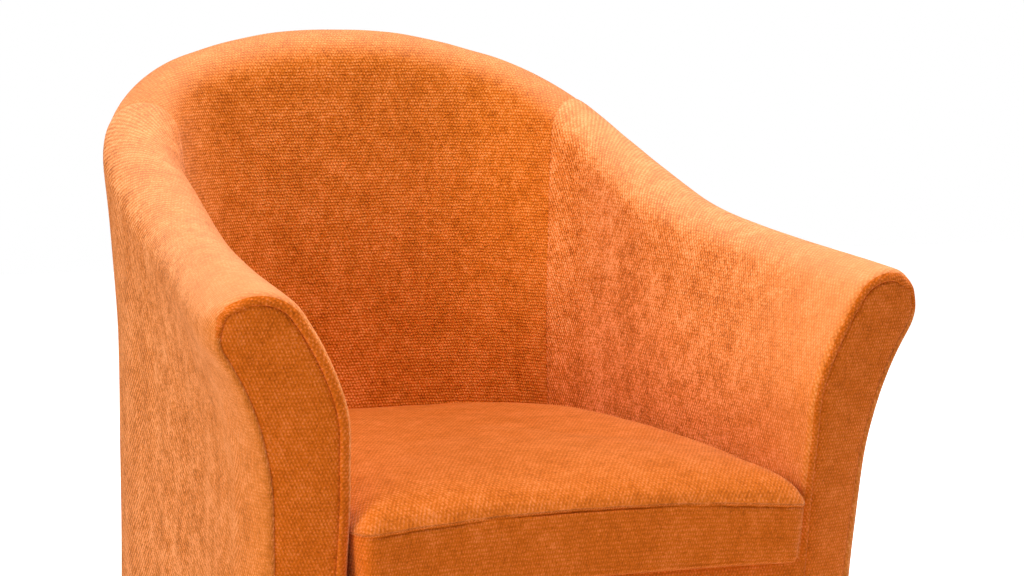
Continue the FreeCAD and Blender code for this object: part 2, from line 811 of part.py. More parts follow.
def leg(place, side, end):
    """Tapered square leg with eased edges and a hole for its bolt and its glide's pin."""
    name = "leg_" + place
    body = document.addObject("PartDesign::Body", name)
    head = square_sketch(body, name + "_head", "leg_top_width", leg_top)
    taper = body.newObject("PartDesign::Pad", name + "_taper")
    taper.Profile = head
    taper.Reversed = True
    taper.setExpression("Length", LEG_LENGTH)
    taper.setExpression("TaperAngle", LEG_TAPER)
    document.recompute()
    upright = []
    for number, edge in enumerate(taper.Shape.Edges, start=1):
        rise = abs(edge.Vertexes[0].Point.z - edge.Vertexes[1].Point.z)
        if rise > size("leg_edge_radius"):
            upright.append("Edge%d" % number)
    easing = body.newObject("PartDesign::Fillet", name + "_easing")
    easing.Base = (taper, upright)
    easing.setExpression("Radius", "Sizes.leg_edge_radius")
    document.recompute()
    x, y = leg_place(side, end)
    drill = cylinder(
        name + "_bolt_hole", "Sizes.leg_bolt_diameter / 2 + Sizes.bolt_clearance",
        "Sizes.leg_bolt_depth + Sizes.overrun", 0, 0, leg_top - size("leg_bolt_depth"))
    pin = cylinder(
        name + "_pin_hole", "Sizes.glide_pin_diameter / 2",
        "Sizes.glide_pin_length + Sizes.glide_thickness", 0, 0, 0)
    drills = document.addObject("Part::MultiFuse", name + "_holes")
    drills.Shapes = [drill, pin]
    bored = document.addObject("Part::Cut", name + "_bored")
    bored.Base = body
    bored.Tool = drills
    bored.Placement.Base = Vector(x, y, 0)
    body.Label = name + "_blank"
    bored.Label = name
    return bored


legs = [leg(*row) for row in LEG_PLACES]
keep(*legs)


def group(name, items):
    """Several like solids as one piece."""
    item = document.addObject("Part::Compound", name)
    item.Label = name
    item.Links = items
    return keep(item)


plates, bolts, glides = [], [], []
for place, side, end in LEG_PLACES:
    x, y = leg_place(side, end)
    sheet_steel = document.addObject("Part::Box", "plate_blank_" + place)
    sheet_steel.setExpression("Length", "Sizes.leg_plate_size")
    sheet_steel.setExpression("Width", "Sizes.leg_plate_size")
    sheet_steel.setExpression("Height", "Sizes.leg_plate_thickness")
    reach = size("leg_plate_size") * HALF
    sheet_steel.Placement.Base = Vector(x - reach, y - reach, leg_top)
    hole = cylinder(
        "plate_hole_" + place, "Sizes.leg_bolt_diameter / 2 + Sizes.bolt_clearance",
        "Sizes.leg_plate_thickness + 2 * Sizes.overrun", x, y, leg_top - size("overrun"))
    plate = document.addObject("Part::Cut", "leg_plate_" + place)
    plate.Base = sheet_steel
    plate.Tool = hole
    plates.append(plate)
    bolts.append(cylinder(
        "leg_bolt_" + place, "Sizes.leg_bolt_diameter / 2",
        "Sizes.leg_bolt_depth + Sizes.leg_plate_thickness + Sizes.corner_block_height",
        x, y, leg_top - size("leg_bolt_depth")))
    disc = cylinder("glide_disc_" + place, "Sizes.glide_diameter / 2", "Sizes.glide_thickness", x, y, 0)
    pin = cylinder(
        "glide_pin_" + place, "Sizes.glide_pin_diameter / 2",
        "Sizes.glide_thickness + Sizes.glide_pin_length", x, y, 0)
    glide = document.addObject("Part::Fuse", "glide_" + place)
    glide.Base = disc
    glide.Tool = pin
    glides.append(glide)
group("leg_plates", plates)
group("leg_bolts", bolts)
group("glides", glides)


# Corner blocks that the legs are bolted to, and the cloth that closes the underside

block_top = rail_bottom + size("corner_block_height")
well = tub_plate(
    rail_bottom, size("corner_block_height"), border_y(block_top, rail_back), lambda rib: rib.lining_out)
end_boards = [arm_front_board_right.Shape]
end_boards.append(end_boards[0].mirror(Vector(0, 0, 0), Vector(1, 0, 0)))
blocks = []
for place, side, end in LEG_PLACES:
    x, y = leg_place(side, end)
    reach = size("corner_block_size") * HALF
    block = Part.makeBox(
        2.0 * reach, 2.0 * reach, size("corner_block_height"), Vector(x - reach, y - reach, rail_bottom))
    hole = Part.makeCylinder(bolt_hole, size("corner_block_height"), Vector(x, y, rail_bottom))
    blocks.append(block.common(well).cut([front_rail.Shape, hole] + end_boards).Solids[0])
keep(feature("corner_blocks", Part.makeCompound(blocks)))

document.recompute()
dust_cover = tub_plate(
    size("base_height"), size("dust_cover_thickness"), border_y(size("base_height"), cover_back),
    lambda rib: rib.outer_pad)
end_cut = front_slab(None, cover_back)
dust_cover = dust_cover.cut(end_cut.common(Part.makeBox(
    size("overall_width"), size("overall_depth"), size("overall_height"),
    Vector(seat_half, -size("overall_depth"), 0))))
left_cut = end_cut.mirror(Vector(0, 0, 0), Vector(1, 0, 0)).common(Part.makeBox(
    size("overall_width"), size("overall_depth"), size("overall_height"),
    Vector(-seat_half - size("overall_width"), -size("overall_depth"), 0)))
dust_cover = dust_cover.cut(left_cut)
for plate in plates:
    dust_cover = dust_cover.cut(Part.makeBox(
        size("leg_plate_size"), size("leg_plate_size"), size("overrun"),
        plate.Base.Placement.Base))
keep(feature("dust_cover", dust_cover))


# Loose seat cushion: boxed border, crowned top, sides drawn in between the seams

cushion_bottom = deck_top + size("cushion_lift")
cushion_seam = cushion_bottom + size("cushion_border")
cushion_middle = (cushion_bottom + cushion_seam) * HALF
cushion_front = border_y(cushion_seam) - size("cushion_overhang")


def cushion_outline(height, inset):
    """Outline of the cushion, drawn in from its widest by an inset."""
    return tub_outline(
        height, cushion_front + inset,
        lambda rib: -rib.half - size("cushion_clearance") - inset,
        size("cushion_corner") - inset)


def border_form(inset, bottom, top):
    """Block between the cushion's two seams, its sides drawn in."""
    return loft([
        cushion_outline(bottom, size("cushion_tuck") + inset),
        cushion_outline(cushion_middle, size("cushion_pull_in") + inset),
        cushion_outline(top, inset)])


# Scale of the outline and share of the crown at each step up the top of the cushion
CROWN_SHARES = [(0.965, 0.34), (0.88, 0.63), (0.7, 0.87), (0.45, 0.98), (0.2, 1.0)]


def crown_form(inset, crown):
    """Crowned top of the cushion, above its seam."""
    rim = cushion_outline(cushion_seam, inset)
    middle = Vector(0, (rim.BoundBox.YMin + rim.BoundBox.YMax) * HALF, cushion_seam)
    wires = [rim]
    for scale, rise in CROWN_SHARES:
        ring = rim.copy()
        ring.scale(scale, middle)
        ring.translate(Vector(0, 0, crown * rise))
        wires.append(ring)
    return loft(wires)


cloth = size("cushion_cloth")
outer_border = border_form(0.0, cushion_bottom, cushion_seam)
inner_border = border_form(cloth, cushion_bottom, cushion_seam)
inner_crown = crown_form(cloth, size("cushion_crown") - cloth)
base_cut = Part.makeBox(
    size("overall_width"), size("overall_depth"), cloth,
    Vector(-size("overall_width") * HALF, -size("overall_depth") * HALF, cushion_bottom))
cushion_foam = feature("cushion_foam", inner_border.cut(base_cut))
cushion_base_cover = feature("cushion_base_cover", inner_border.common(base_cut))
cushion_border_cover = feature("cushion_border_cover", outer_border.cut(inner_border))
cushion_topper = feature("cushion_topper", inner_crown)
cushion_top_cover = feature(
    "cushion_top_cover", crown_form(0.0, size("cushion_crown")).cut(inner_crown))
keep(cushion_foam, cushion_topper, cushion_top_cover, cushion_border_cover, cushion_base_cover)


# Zip in the back border. Its tape follows the arc of the border, and so does its slider

def back_arc():
    """Radius, centre in plan and half length of the arc at the back of the border, halfway up."""
    middle = Rib(1.0)
    edge = Rib(straight_share + (1.0 - straight_share) * BACK_ARC_SHARE)
    inset = size("cushion_clearance") + size("cushion_pull_in")
    top = middle.point(-middle.half - inset, cushion_middle)
    low = edge.point(-edge.half - inset, cushion_middle)
    drop = top.y - low.y
    radius = (low.x ** 2 + drop ** 2) / (2.0 * drop)
    return radius, Vector(0, top.y - radius, 0), radius * math.asin(low.x / radius)


zip_radius, zip_centre, zip_reach = back_arc()


def zip_strip(start, thickness, height, first, last):
    """Strip bent round the back border, between two angles from straight back."""
    corners = [
        (start, -height * HALF), (start + thickness, -height * HALF),
        (start + thickness, height * HALF), (start, height * HALF)]
    points = [
        Vector(0, zip_centre.y + zip_radius + out, cushion_middle + rise) for out, rise in corners]
    strip = Part.Face(Part.makePolygon(points + points[:1])).revolve(
        zip_centre, Vector(0, 0, 1), last - first)
    strip.rotate(zip_centre, Vector(0, 0, 1), first)
    return strip


half_zip = math.degrees((zip_reach - size("zip_end_margin")) / zip_radius)
stop_angle = math.degrees(size("zip_stop_length") / zip_radius)
slider_angle = math.degrees(size("zip_slider_length") / zip_radius)
tape_face = size("zip_tape_thickness")
chain_seat = tape_face + size("zip_seat_gap")
chain_face = chain_seat + size("zip_chain_thickness")
tape = zip_strip(
    -size("zip_clearance"), size("zip_clearance") + tape_face, size("zip_tape_height"), -half_zip, half_zip)
zip_tape = feature("zip_tape", tape.cut(outer_border))
stop_height = size("zip_slider_height")
zip_chain = feature("zip_chain", zip_strip(
    chain_seat, size("zip_chain_thickness"), size("zip_chain_height"), stop_angle - half_zip,
    half_zip - stop_angle))
stops = [
    zip_strip(chain_seat, size("zip_chain_thickness"), stop_height, -half_zip, stop_angle - half_zip),
    zip_strip(chain_seat, size("zip_chain_thickness"), stop_height, half_zip - stop_angle, half_zip)]
zip_stops = feature("zip_stops", Part.makeCompound(stops))
slider_start = stop_angle - half_zip + math.degrees(size("zip_clearance") / zip_radius)
slider_gap = size("zip_clearance")
slider_blank = zip_strip(
    tape_face + slider_gap, size("zip_slider_thickness"), stop_height,
    slider_start, slider_start + slider_angle)
slider_slot = zip_strip(
    -size("overrun"), size("overrun") + chain_face + slider_gap,
    size("zip_chain_height") + 2.0 * slider_gap, -half_zip, half_zip)
zip_slider = feature("zip_slider", slider_blank.cut(slider_slot))
keep(zip_tape, zip_chain, zip_stops, zip_slider)
print("zip centre y %.2f, radius %.2f, height %.2f" % (zip_centre.y, zip_radius, cushion_middle))
print("slider travel %.2f degrees, zip half angle %.3f" % (-2.0 * slider_start - slider_angle, half_zip))
for place, side, end in LEG_PLACES:
    print(place, "leg at x %.2f, y %.2f" % leg_place(side, end))


# Check every object, then write each piece to a file of its own

document.recompute()
for item in document.Objects:
    if "Invalid" in item.State or "Error" in item.State:
        raise RuntimeError("object failed: " + item.Label)
for item in pieces:
    if item.Shape.isNull() or not item.Shape.isValid() or not item.Shape.Solids:
        raise RuntimeError("shape failed: " + item.Label)
os.makedirs("parts", exist_ok=True)
for item in pieces:
    item.Shape.exportStep(os.path.join("parts", item.Label + ".step"))
print("pieces written:", len(pieces))
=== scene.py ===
import functools
import math
from bisect import bisect_left, bisect_right

import bpy
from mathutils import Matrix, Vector, noise


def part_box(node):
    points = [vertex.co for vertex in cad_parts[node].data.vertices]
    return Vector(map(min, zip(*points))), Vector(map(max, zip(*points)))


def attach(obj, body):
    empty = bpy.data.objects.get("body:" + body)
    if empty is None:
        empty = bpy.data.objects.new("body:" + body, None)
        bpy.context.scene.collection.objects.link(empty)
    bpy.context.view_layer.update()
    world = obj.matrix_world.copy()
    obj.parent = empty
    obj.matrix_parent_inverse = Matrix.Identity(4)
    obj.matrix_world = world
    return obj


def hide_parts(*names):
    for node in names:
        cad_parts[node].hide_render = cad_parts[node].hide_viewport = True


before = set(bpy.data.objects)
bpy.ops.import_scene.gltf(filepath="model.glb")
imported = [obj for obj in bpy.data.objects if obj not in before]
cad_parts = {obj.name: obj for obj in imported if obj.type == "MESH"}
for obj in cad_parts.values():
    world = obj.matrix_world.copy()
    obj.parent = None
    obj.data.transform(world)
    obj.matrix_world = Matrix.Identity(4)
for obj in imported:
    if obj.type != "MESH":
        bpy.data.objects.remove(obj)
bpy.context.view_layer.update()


# Camera
# It stands a little left of the chair's front, level with the top of the back, and looks slightly
# down. The lens is long, and the shift puts the chair where the photograph has it.

camera_place = Vector((-1.2155, -2.9566, 0.860))
camera_azimuth = math.radians(22.6)
camera_drop = 0.089
sensor_mm = 36
photo_width_px = 1024
focal_px = 2900
shift_px = 56

bpy.ops.object.camera_add(
    location=camera_place, rotation=(math.pi / 2 - camera_drop, 0, -camera_azimuth))
camera = bpy.context.object
camera.name = "camera"
camera.data.sensor_width = sensor_mm
camera.data.lens = focal_px / photo_width_px * sensor_mm
camera.data.shift_x = shift_px / photo_width_px
bpy.context.scene.camera = camera


# Timber frame
# Rails, posts, slats, end boards and corner blocks of pale hardwood, glued and stapled, with bent
# lining boards. Their shape is the frame's own, and only their finish is made here.


class Value:
    """Output of a shader node, on which plain arithmetic can be done."""

    def __init__(self, socket):
        self.socket = socket

    def worked(self, operation, *others):
        """Result of a Math node on this value and the others."""
        node = self.socket.id_data.nodes.new("ShaderNodeMath")
        node.operation = operation
        for value, socket in zip((self, *others), node.inputs):
            put(value, socket)
        return Value(node.outputs[0])

    def __add__(self, other):
        return self.worked("ADD", other)

    def __sub__(self, other):
        return self.worked("SUBTRACT", other)

    def __mul__(self, other):
        return self.worked("MULTIPLY", other)

    def __truediv__(self, other):
        return self.worked("DIVIDE", other)


def put(value, socket):
    """Links an input to a shader's value, or sets it to a plain one."""
    if isinstance(value, Value):
        socket.id_data.links.new(value.socket, socket)
    else:
        socket.default_value = value


def feed(node, **inputs):
    """Puts values into a node's inputs. An underscore in a name stands for a space."""
    for name, value in inputs.items():
        put(value, node.inputs[name.replace("_", " ")])


def new_node(tree, kind, output, **values):
    """Output of a new node. Names in lower case set the node itself, the others its inputs."""
    node = tree.nodes.new("ShaderNode" + kind)
    for name, value in values.items():
        if name.islower():
            setattr(node, name, value)
        else:
            feed(node, **{name: value})
    return Value(node.outputs[output])


class Finish:
    """A material and the nodes of its pattern."""

    def __init__(self, name, roughness, metallic=0.0):
        self.material = bpy.data.materials.new(name)
        self.material.use_nodes = True
        self.tree = self.material.node_tree
        self.shader = self.tree.nodes["Principled BSDF"]
        feed(self.shader, Roughness=roughness, Metallic=metallic)
        self.place = new_node(self.tree, "TexCoord", "Object")

    def stretched(self, scale):
        """Coordinates drawn out along an axis, for grain."""
        return new_node(self.tree, "Mapping", "Vector", Vector=self.place, Scale=scale)

    def mottle(self, scale, detail=2.0, roughness=0.5, place=None):
        """Noise whose scale is in features per metre."""
        return new_node(
            self.tree, "TexNoise", "Fac", Vector=place or self.place, Scale=scale, Detail=detail,
            Roughness=roughness)

    def ramp(self, factor, *stops):
        """Colours at their places along a factor."""
        node = self.tree.nodes.new("ShaderNodeValToRGB")
        put(factor, node.inputs["Fac"])
        elements = node.color_ramp.elements
        while len(elements) < len(stops):
            elements.new(0.5)
        for element, (place, colour) in zip(elements, stops):
            element.position = place
            element.color = (*colour, 1)
        return Value(node.outputs["Color"])

    def bumped(self, height, distance, strength):
        feed(self.shader, Normal=new_node(
            self.tree, "Bump", "Normal", Height=height, Distance=distance, Strength=strength))

    def done(self, pattern, dark, light):
        """The material, its colour going from dark to light along a pattern."""
        feed(self.shader, Base_Color=self.ramp(pattern, dark, light))
        return self.material


def timber(name, dark, light, roughness, grain, depth=0.0003):
    """Wood with its grain along the axis that the scale leaves small."""
    wood = Finish(name, roughness)
    fibres = wood.mottle(9, 5.0, 0.65, wood.stretched(grain))
    rings = wood.mottle(2.2, 2.0, 0.4, wood.stretched(grain))
    wood.bumped(fibres, depth, 0.4)
    return wood.done(fibres * 0.6 + rings * 0.4, (0.32, dark), (0.66, light))


def sides(*names):
    """Names of the left and right ones of some nodes."""
    return [name + side for name in names for side in ("_left", "_right")]


def finish_nodes(material, *names):
    """Gives nodes of the frame a material."""
    for name in names:
        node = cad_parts[name]
        node.data.materials.clear()
        node.data.materials.append(material)


planed = (0.42, 0.27, 0.14), (0.66, 0.48, 0.29)
beech = timber("planed_beech", *planed, 0.6, (3, 12, 12))
upright_beech = timber("planed_beech_upright", *planed, 0.6, (12, 12, 2))
fibreboard = timber("bent_fibreboard", (0.24, 0.15, 0.08), (0.36, 0.24, 0.13), 0.8, (30, 30, 30))
finish_nodes(
    beech, *sides("arm_top_rail", "side_rail"), "back_top_rail", "back_rail", "front_rail",
    "corner_blocks")
finish_nodes(upright_beech, *sides("back_post", "back_slat", "arm_front_board"))
finish_nodes(fibreboard, *sides("arm_lining"), "back_lining")


# Springs and steel parts
# Zigzag springs of dark tempered wire lie in zinc-plated clips on the rails. The leg plates and
# bolts are plated too.


def grained(name, dark, light, roughness, scale, detail, depth, strength, metallic=0.0):
    """Hard material with a fine grain."""
    finish = Finish(name, roughness, metallic)
    grain = finish.mottle(scale, detail, 0.6)
    finish.bumped(grain, depth, strength)
    return finish.done(grain, (0.3, dark), (0.7, light))


def steel(name, dark, light, roughness):
    return grained(name, dark, light, roughness, 90, 4.0, 0.0001, 0.3, metallic=1.0)


finish_nodes(
    steel("tempered_wire", (0.05, 0.05, 0.055), (0.12, 0.12, 0.13), 0.42), "seat_springs")
finish_nodes(
    steel("zinc_plate", (0.50, 0.50, 0.48), (0.68, 0.68, 0.66), 0.38),
    "spring_clips", "leg_plates", "leg_bolts")


# Foam and felt
# Cream foam cut in sheets, and a grey felt pad on the springs. The wadding over the foam is part of
# the padded covers further down.


def filling(name, dark, light, pores, depth):
    """Soft stuffing with its pores or fibres."""
    stuffing = Finish(name, 0.95)
    cells = stuffing.mottle(pores, 3.0, 0.7)
    stuffing.bumped(cells, depth, 0.6)
    return stuffing.done(cells * 0.7 + stuffing.mottle(14) * 0.3, (0.3, dark), (0.65, light))


finish_nodes(
    filling("cut_foam", (0.68, 0.60, 0.36), (0.86, 0.80, 0.58), 900, 0.0005),
    *sides("arm_foam"), "back_foam", "deck_foam")
finish_nodes(
    filling("needled_felt", (0.10, 0.10, 0.11), (0.26, 0.25, 0.25), 420, 0.0008),
    "spring_insulator")


# Chenille cloth
# The orange cover cloth: plump rows of pile yarn, staggered like bricks, with a soft brushed nap
# that goes pale where it is seen edge on, and a painted highlight that makes it paler where it
# faces up, for the light from above. Every cover is cut from it.

row_pitch = 0.0037
# Pale colour of the painted highlight on cloth that faces up
painted_highlight_colour = (0.95, 0.40, 0.22, 1)
sheen_tint = (1.0, 0.60, 0.34, 1)
flattened = 0.45


def with_painted_top_highlight(cloth, colour, top_highlight):
    """Colour mixed with a pale painted highlight where the cloth faces up, for the light from
    above.
    """
    normal = new_node(cloth.tree, "TexCoord", "Normal")
    upwards = new_node(
        cloth.tree, "MapRange", "Result", interpolation_type="SMOOTHSTEP",
        Value=new_node(cloth.tree, "SeparateXYZ", "Z", Vector=normal),
        From_Min=0.1, From_Max=0.9, To_Max=top_highlight)
    mix = cloth.tree.nodes.new("ShaderNodeMix")
    mix.data_type = "RGBA"
    feed(mix, Factor=upwards)
    colours = [socket for socket in mix.inputs if socket.type == "RGBA"]
    for value, socket in zip((colour, painted_highlight_colour), colours):
        put(value, socket)
    return Value([socket for socket in mix.outputs if socket.type == "RGBA"][0])


def chenille(
        name, colour, contrast, stitch_pitch=0.0039, twill=0.6, rib=0.2, smooth_end=0.0,
        sheen=0.36, top_highlight=0.0):
    """Cover cloth of one nap colour.

    Its pile lies flatter in the first smooth_end of its length, and a painted highlight makes it
    paler where it faces up."""
    cloth = Finish(name, 0.95)
    flat = new_node(cloth.tree, "UVMap", "UV", uv_map="cloth")
    along, down = (new_node(cloth.tree, "SeparateXYZ", axis, Vector=flat) for axis in "XY")
    wander = cloth.mottle(90) * 0.9
    rows = down / row_pitch + wander
    stitches = along / stitch_pitch + wander
    half_rows = rows * 0.5
    waves = (stitches - half_rows, stitches + half_rows, rows)
    rising, falling, ribs = ((wave * math.tau).worked("COSINE") for wave in waves)
    pile = rising * twill + falling * (1 - twill) + ribs * rib
    fuzz = cloth.mottle(480, 2.0, 0.7)
    brushed = cloth.mottle(22, place=cloth.stretched((1, 1, 0.3)))
    shade = pile * 0.16
    layers = ((fuzz, 1.0), (cloth.mottle(150), 0.50), (cloth.mottle(40), 0.40), (brushed, 0.22))
    for layer, share in layers:
        shade = shade + (layer - 0.5) * share
    if smooth_end:
        opened = (along / smooth_end).worked("MINIMUM", 1).worked("MAXIMUM", 0)
        shade = shade * (opened * (1 - flattened) + flattened)
    shade = shade * contrast + 0.5
    red, green, blue = colour
    nap_and_highlight_colour = cloth.ramp(
        shade, (0.0, (red * 0.45, green * 0.36, blue * 0.2)), (0.50, colour),
        (1.0, (min(red * 1.5, 0.95), green * 2.1, blue * 4 + 0.05)))
    # Painted highlight: the cloth is mixed with a pale colour where it faces up, for the light from
    # above
    if top_highlight:
        nap_and_highlight_colour = with_painted_top_highlight(cloth, nap_and_highlight_colour, top_highlight)
    cloth.bumped(pile + fuzz * 2.5, 0.0004, 0.6)
    feed(
        cloth.shader, Base_Color=nap_and_highlight_colour, Specular_IOR_Level=0.1,
        Sheen_Weight=(shade.worked("MAXIMUM", 0) + 0.5) * sheen, Sheen_Roughness=0.42,
        Sheen_Tint=sheen_tint)
    return cloth.material


# The one cloth is made in copies whose colours are set to the light their pieces get: the arms'
# copy is the lightest, painted light, and the copy for the pieces that face the front is darker,
# painted shade.
arm_chenille = chenille(
    "chenille_arms", (0.66, 0.172, 0.020), 1.8, 0.0044, 0.68, smooth_end=0.22, top_highlight=0.30)
shaded_front_chenille = chenille(
    "chenille_shaded_front", (0.62, 0.123, 0.004), 0.8, 0.0034, rib=0.5, sheen=0.2)
back_chenille = chenille("chenille_back", (0.58, 0.137, 0.006), 1.25, rib=0.6, top_highlight=0.27)
cushion_chenille = chenille("chenille_cushion", (0.55, 0.121, 0.007), 0.9, 0.0044)


# The wall of the tub
# Arms and back are one padded wall. Its middle runs straight back from each arm's tip and then
# round the back, and it leans out in an arc above flare_start to a half-round crest.

arm_half_run = 0.2905
arm_thickness = 0.083
back_thickness = 0.088
side_run = 0.378
tub_roundness = 2.79
seam_share = 0.661
seam_lean = 0.018
flare_start = 0.400
flares = [0.053, 0.027, 0.007, 0.028, 0.009]
crests = [0.613, 0.638, 0.671, 0.737, 0.831, 0.860]
crest_trims_mm = [
    0, 0, -0.3, -1.2, -2.2, -3.0, -3.0, -2.5, -1.8, -0.8, -0.8, -2.0, -2.6, -1.0, 0, 0, 0.8, 3.4,
    3.6, 1.6, 0]
rake = math.tan(math.radians(9))
toe = math.tan(math.radians(15))
whole_depth = 0.775
plan_steps = 600
wall_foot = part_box("outside_back_cover")[0][2]
deck_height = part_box("deck_cloth")[1][2]


def clamped(value):
    return min(max(value, 0), 1)


def eased(value):
    """Smooth step from 0 to 1."""
    value = clamped(value)
    return value * value * (3 - 2 * value)


def hump(away, reach):
    """1 at no distance, and next to nothing past twice the reach."""
    return math.exp(-(away / reach) ** 2)


def through(values, share):
    """Smooth curve through values at equal steps of a share from 0 to 1, level at its end."""
    last = len(values) - 1
    index = min(max(int(math.floor(share * last)), 0), last - 1)
    part = share * last - index
    rises = [after - before for before, after in zip(values, values[1:])]

    def slope(knot):
        if knot == 0:
            return rises[0]
        if knot == last or rises[knot - 1] * rises[knot] <= 0:
            return 0
        return 2 * rises[knot - 1] * rises[knot] / (rises[knot - 1] + rises[knot])

    if part < 0:
        return values[0] + slope(0) * part
    bend = 3 * rises[index] - 2 * slope(index) - slope(index + 1)
    twist = slope(index) + slope(index + 1) - 2 * rises[index]
    return values[index] + part * (slope(index) + part * (bend + part * twist))


def lean_at(share):
    """Half thickness of the wall, and the turn and radius of its lean, at a share of its path."""
    half = (arm_thickness + (back_thickness - arm_thickness) * max(share, 0)) / 2
    rise = through(crests, share) - half - flare_start
    turn = 2 * math.atan2(through(flares, share), rise)
    return half, turn, rise / math.sin(turn)


def tip_reach():
    """How far the raked and toed front of an arm comes forward of its reference point."""
    half, turn, radius = lean_at(0)
    outer, count = radius + half, 40
    angles = [turn * step / count for step in range(count + 1)]
    return max(
        rake * outer * math.sin(angle) - toe * (outer * (1 - math.cos(angle)) - half)
        for angle in angles)


arm_front = tip_reach() - whole_depth / 2
curve_start = arm_front + side_run
curve_back = whole_depth / 2 - flares[-1] - back_thickness / 2
curve_depth = curve_back - curve_start


class Line:
    """Line through points, followed by the length along it."""

    def __init__(self, points, start=0.0):
        self.points, self.lengths = points, [start]
        for before, after in zip(points, points[1:]):
            self.lengths.append(self.lengths[-1] + (after - before).length)

    def at(self, run):
        index = min(max(bisect_left(self.lengths, run), 1), len(self.lengths) - 1)
        before, after = self.lengths[index - 1:index + 1]
        part = clamped((run - before) / (after - before))
        return self.points[index - 1].lerp(self.points[index], part)

    def even(self, count):
        """Points at even lengths along the line."""
        return [self.at(self.lengths[-1] * step / count) for step in range(count + 1)]


plan_points = []
for step in range(plan_steps + 1):
    angle = math.pi / 2 * step / plan_steps
    across = arm_half_run * abs(math.cos(angle)) ** (2 / tub_roundness)
    along = curve_depth * math.sin(angle) ** (2 / tub_roundness)
    plan_points.append(Vector((across, curve_start + along)))
plan_curve = Line(plan_points, side_run)
path_length = plan_curve.lengths[-1]


def plan_at(share):
    """Place and outward normal of the wall's middle in plan."""
    run = share * path_length
    if run <= side_run:
        return Vector((arm_half_run, arm_front + run, 0)), Vector((1, 0, 0))
    spot = plan_curve.at(run)
    across = (max(spot.x, 0) / arm_half_run) ** (tub_roundness - 1) / arm_half_run
    along = (max(spot.y - curve_start, 0) / curve_depth) ** (tub_roundness - 1) / curve_depth
    return spot.to_3d(), Vector((across, along, 0)).normalized()


# Stretches of the wall's section, from its inside foot over the crest to its outside foot
INSIDE_FACE, INSIDE_LEAN, CREST, OUTSIDE_LEAN, OUTSIDE_FACE = range(5)


class Section:
    """The wall's outline, square to its path, at a share of it. Past 1 is the left side."""

    def __init__(self, share):
        near = share if share <= 1 else 2 - share
        self.side = 1 if share <= 1 else -1
        self.place, self.normal = plan_at(near)
        self.half, self.turn, self.radius = lean_at(near)

    def at(self, row):
        """Point and outward normal at a row, which is a stretch and a part of the way along it."""
        stretch, part = row
        if stretch == CREST:
            slant = math.pi * (part - 0.5)
            radius = self.radius - self.half * math.sin(slant)
            up = self.half * math.cos(slant)
            across = self.radius - radius * math.cos(self.turn) + up * math.sin(self.turn)
            height = flare_start + radius * math.sin(self.turn) + up * math.cos(self.turn)
            return self.lay(across, height, math.pi / 2 - slant - self.turn)
        out, facing = (-self.half, math.pi) if stretch < CREST else (self.half, 0)
        if stretch > CREST:
            part = 1 - part
        if stretch in (INSIDE_FACE, OUTSIDE_FACE):
            return self.lay(out, wall_foot + (flare_start - wall_foot) * part, facing)
        angle, radius = self.turn * part, self.radius - out
        across = self.radius - radius * math.cos(angle)
        return self.lay(across, flare_start + radius * math.sin(angle), facing - angle)

    def lay(self, across, height, facing):
        """Point at a distance across and a height, and a normal turned up from outwards."""
        point = self.place + self.normal * across
        normal = self.normal * math.cos(facing) + Vector((0, 0, math.sin(facing)))
        point.z = height
        if self.side < 0:
            point.x, normal.x = -point.x, -normal.x
        return point, normal

    def down_to(self, row):
        """Length of cloth from the inside foot to a row."""
        lengths = [
            flare_start - wall_foot, (self.radius + self.half) * self.turn,
            math.pi * self.half, (self.radius - self.half) * self.turn, flare_start - wall_foot]
        return sum(lengths[:row[0]]) + lengths[row[0]] * row[1]


def on_wall(share, row):
    """Point and outward normal of the wall, and the place on the uncut cloth."""
    section = Section(share)
    return *section.at(row), (share * path_length, section.down_to(row))


def seam_at(row):
    """Share of the path where the shoulder's seam crosses a row. It leans back as it rises."""
    lean = [0, row[1], 1, 1 - row[1], 0][row[0]]
    return seam_share + seam_lean * lean


def trim(share, row):
    """How full the padding is worked along the crest, above or below the wall's plain section."""
    weight = [0, row[1] ** 2, 1, 1 - row[1] ** 2, 0][row[0]]
    return 0.001 * weight * through(crest_trims_mm, max(min(share, 2 - share), 0))


def steps(*counts):
    """Rows down a section: an even count of steps on each stretch, each join named once."""
    rows = []
    for stretch, count in counts:
        rows += [(stretch, step / count) for step in range(count)]
    return rows + [(counts[-1][0], 1.0)]


def ripple(point, pitch, depth, seed=0):
    """Soft unevenness of padding, the same on every run."""
    return depth * noise.noise(point / pitch + Vector((seed, 0, 0)))


def pucker(along, away, seed, pitch=0.009, reach=0.012, depth=0.0007):
    """Small gathers that run into a seam."""
    return depth * math.exp(-away / reach) * noise.noise(Vector((along / pitch, seed, 0)))


def seam_sink(away, depth=0.0008, reach=0.0030):
    """How far cloth is drawn down beside a seam."""
    return depth * hump(away, reach)


def cloth_grid(name, columns, rows, place, behind=None):
    """Grid of cloth that faces away from a point behind it.

    place gives each crossing's point and its place on the uncut cloth."""
    bpy.ops.mesh.primitive_grid_add(
        x_subdivisions=len(columns) - 1, y_subdivisions=len(rows) - 1, size=1)
    piece = bpy.context.object
    piece.name = name
    placed = [place(column, row) for row in rows for column in columns]
    mesh = piece.data
    mesh.vertices.foreach_set("co", [value for point, flat in placed for value in point])
    layer = mesh.uv_layers[0]
    layer.name = "cloth"
    layer.uv.foreach_set(
        "vector", [value for loop in mesh.loops for value in placed[loop.vertex_index][1]])
    mesh.update()
    middle = mesh.polygons[len(mesh.polygons) // 2]
    if behind and middle.normal.dot(middle.center - Vector(behind)) < 0:
        mesh.flip_normals()
    return piece


def pick(*pieces):
    """Selects some pieces and nothing else, the first of them as the active one."""
    bpy.ops.object.select_all(action="DESELECT")
    for piece in pieces:
        piece.select_set(True)
    bpy.context.view_layer.objects.active = pieces[0]


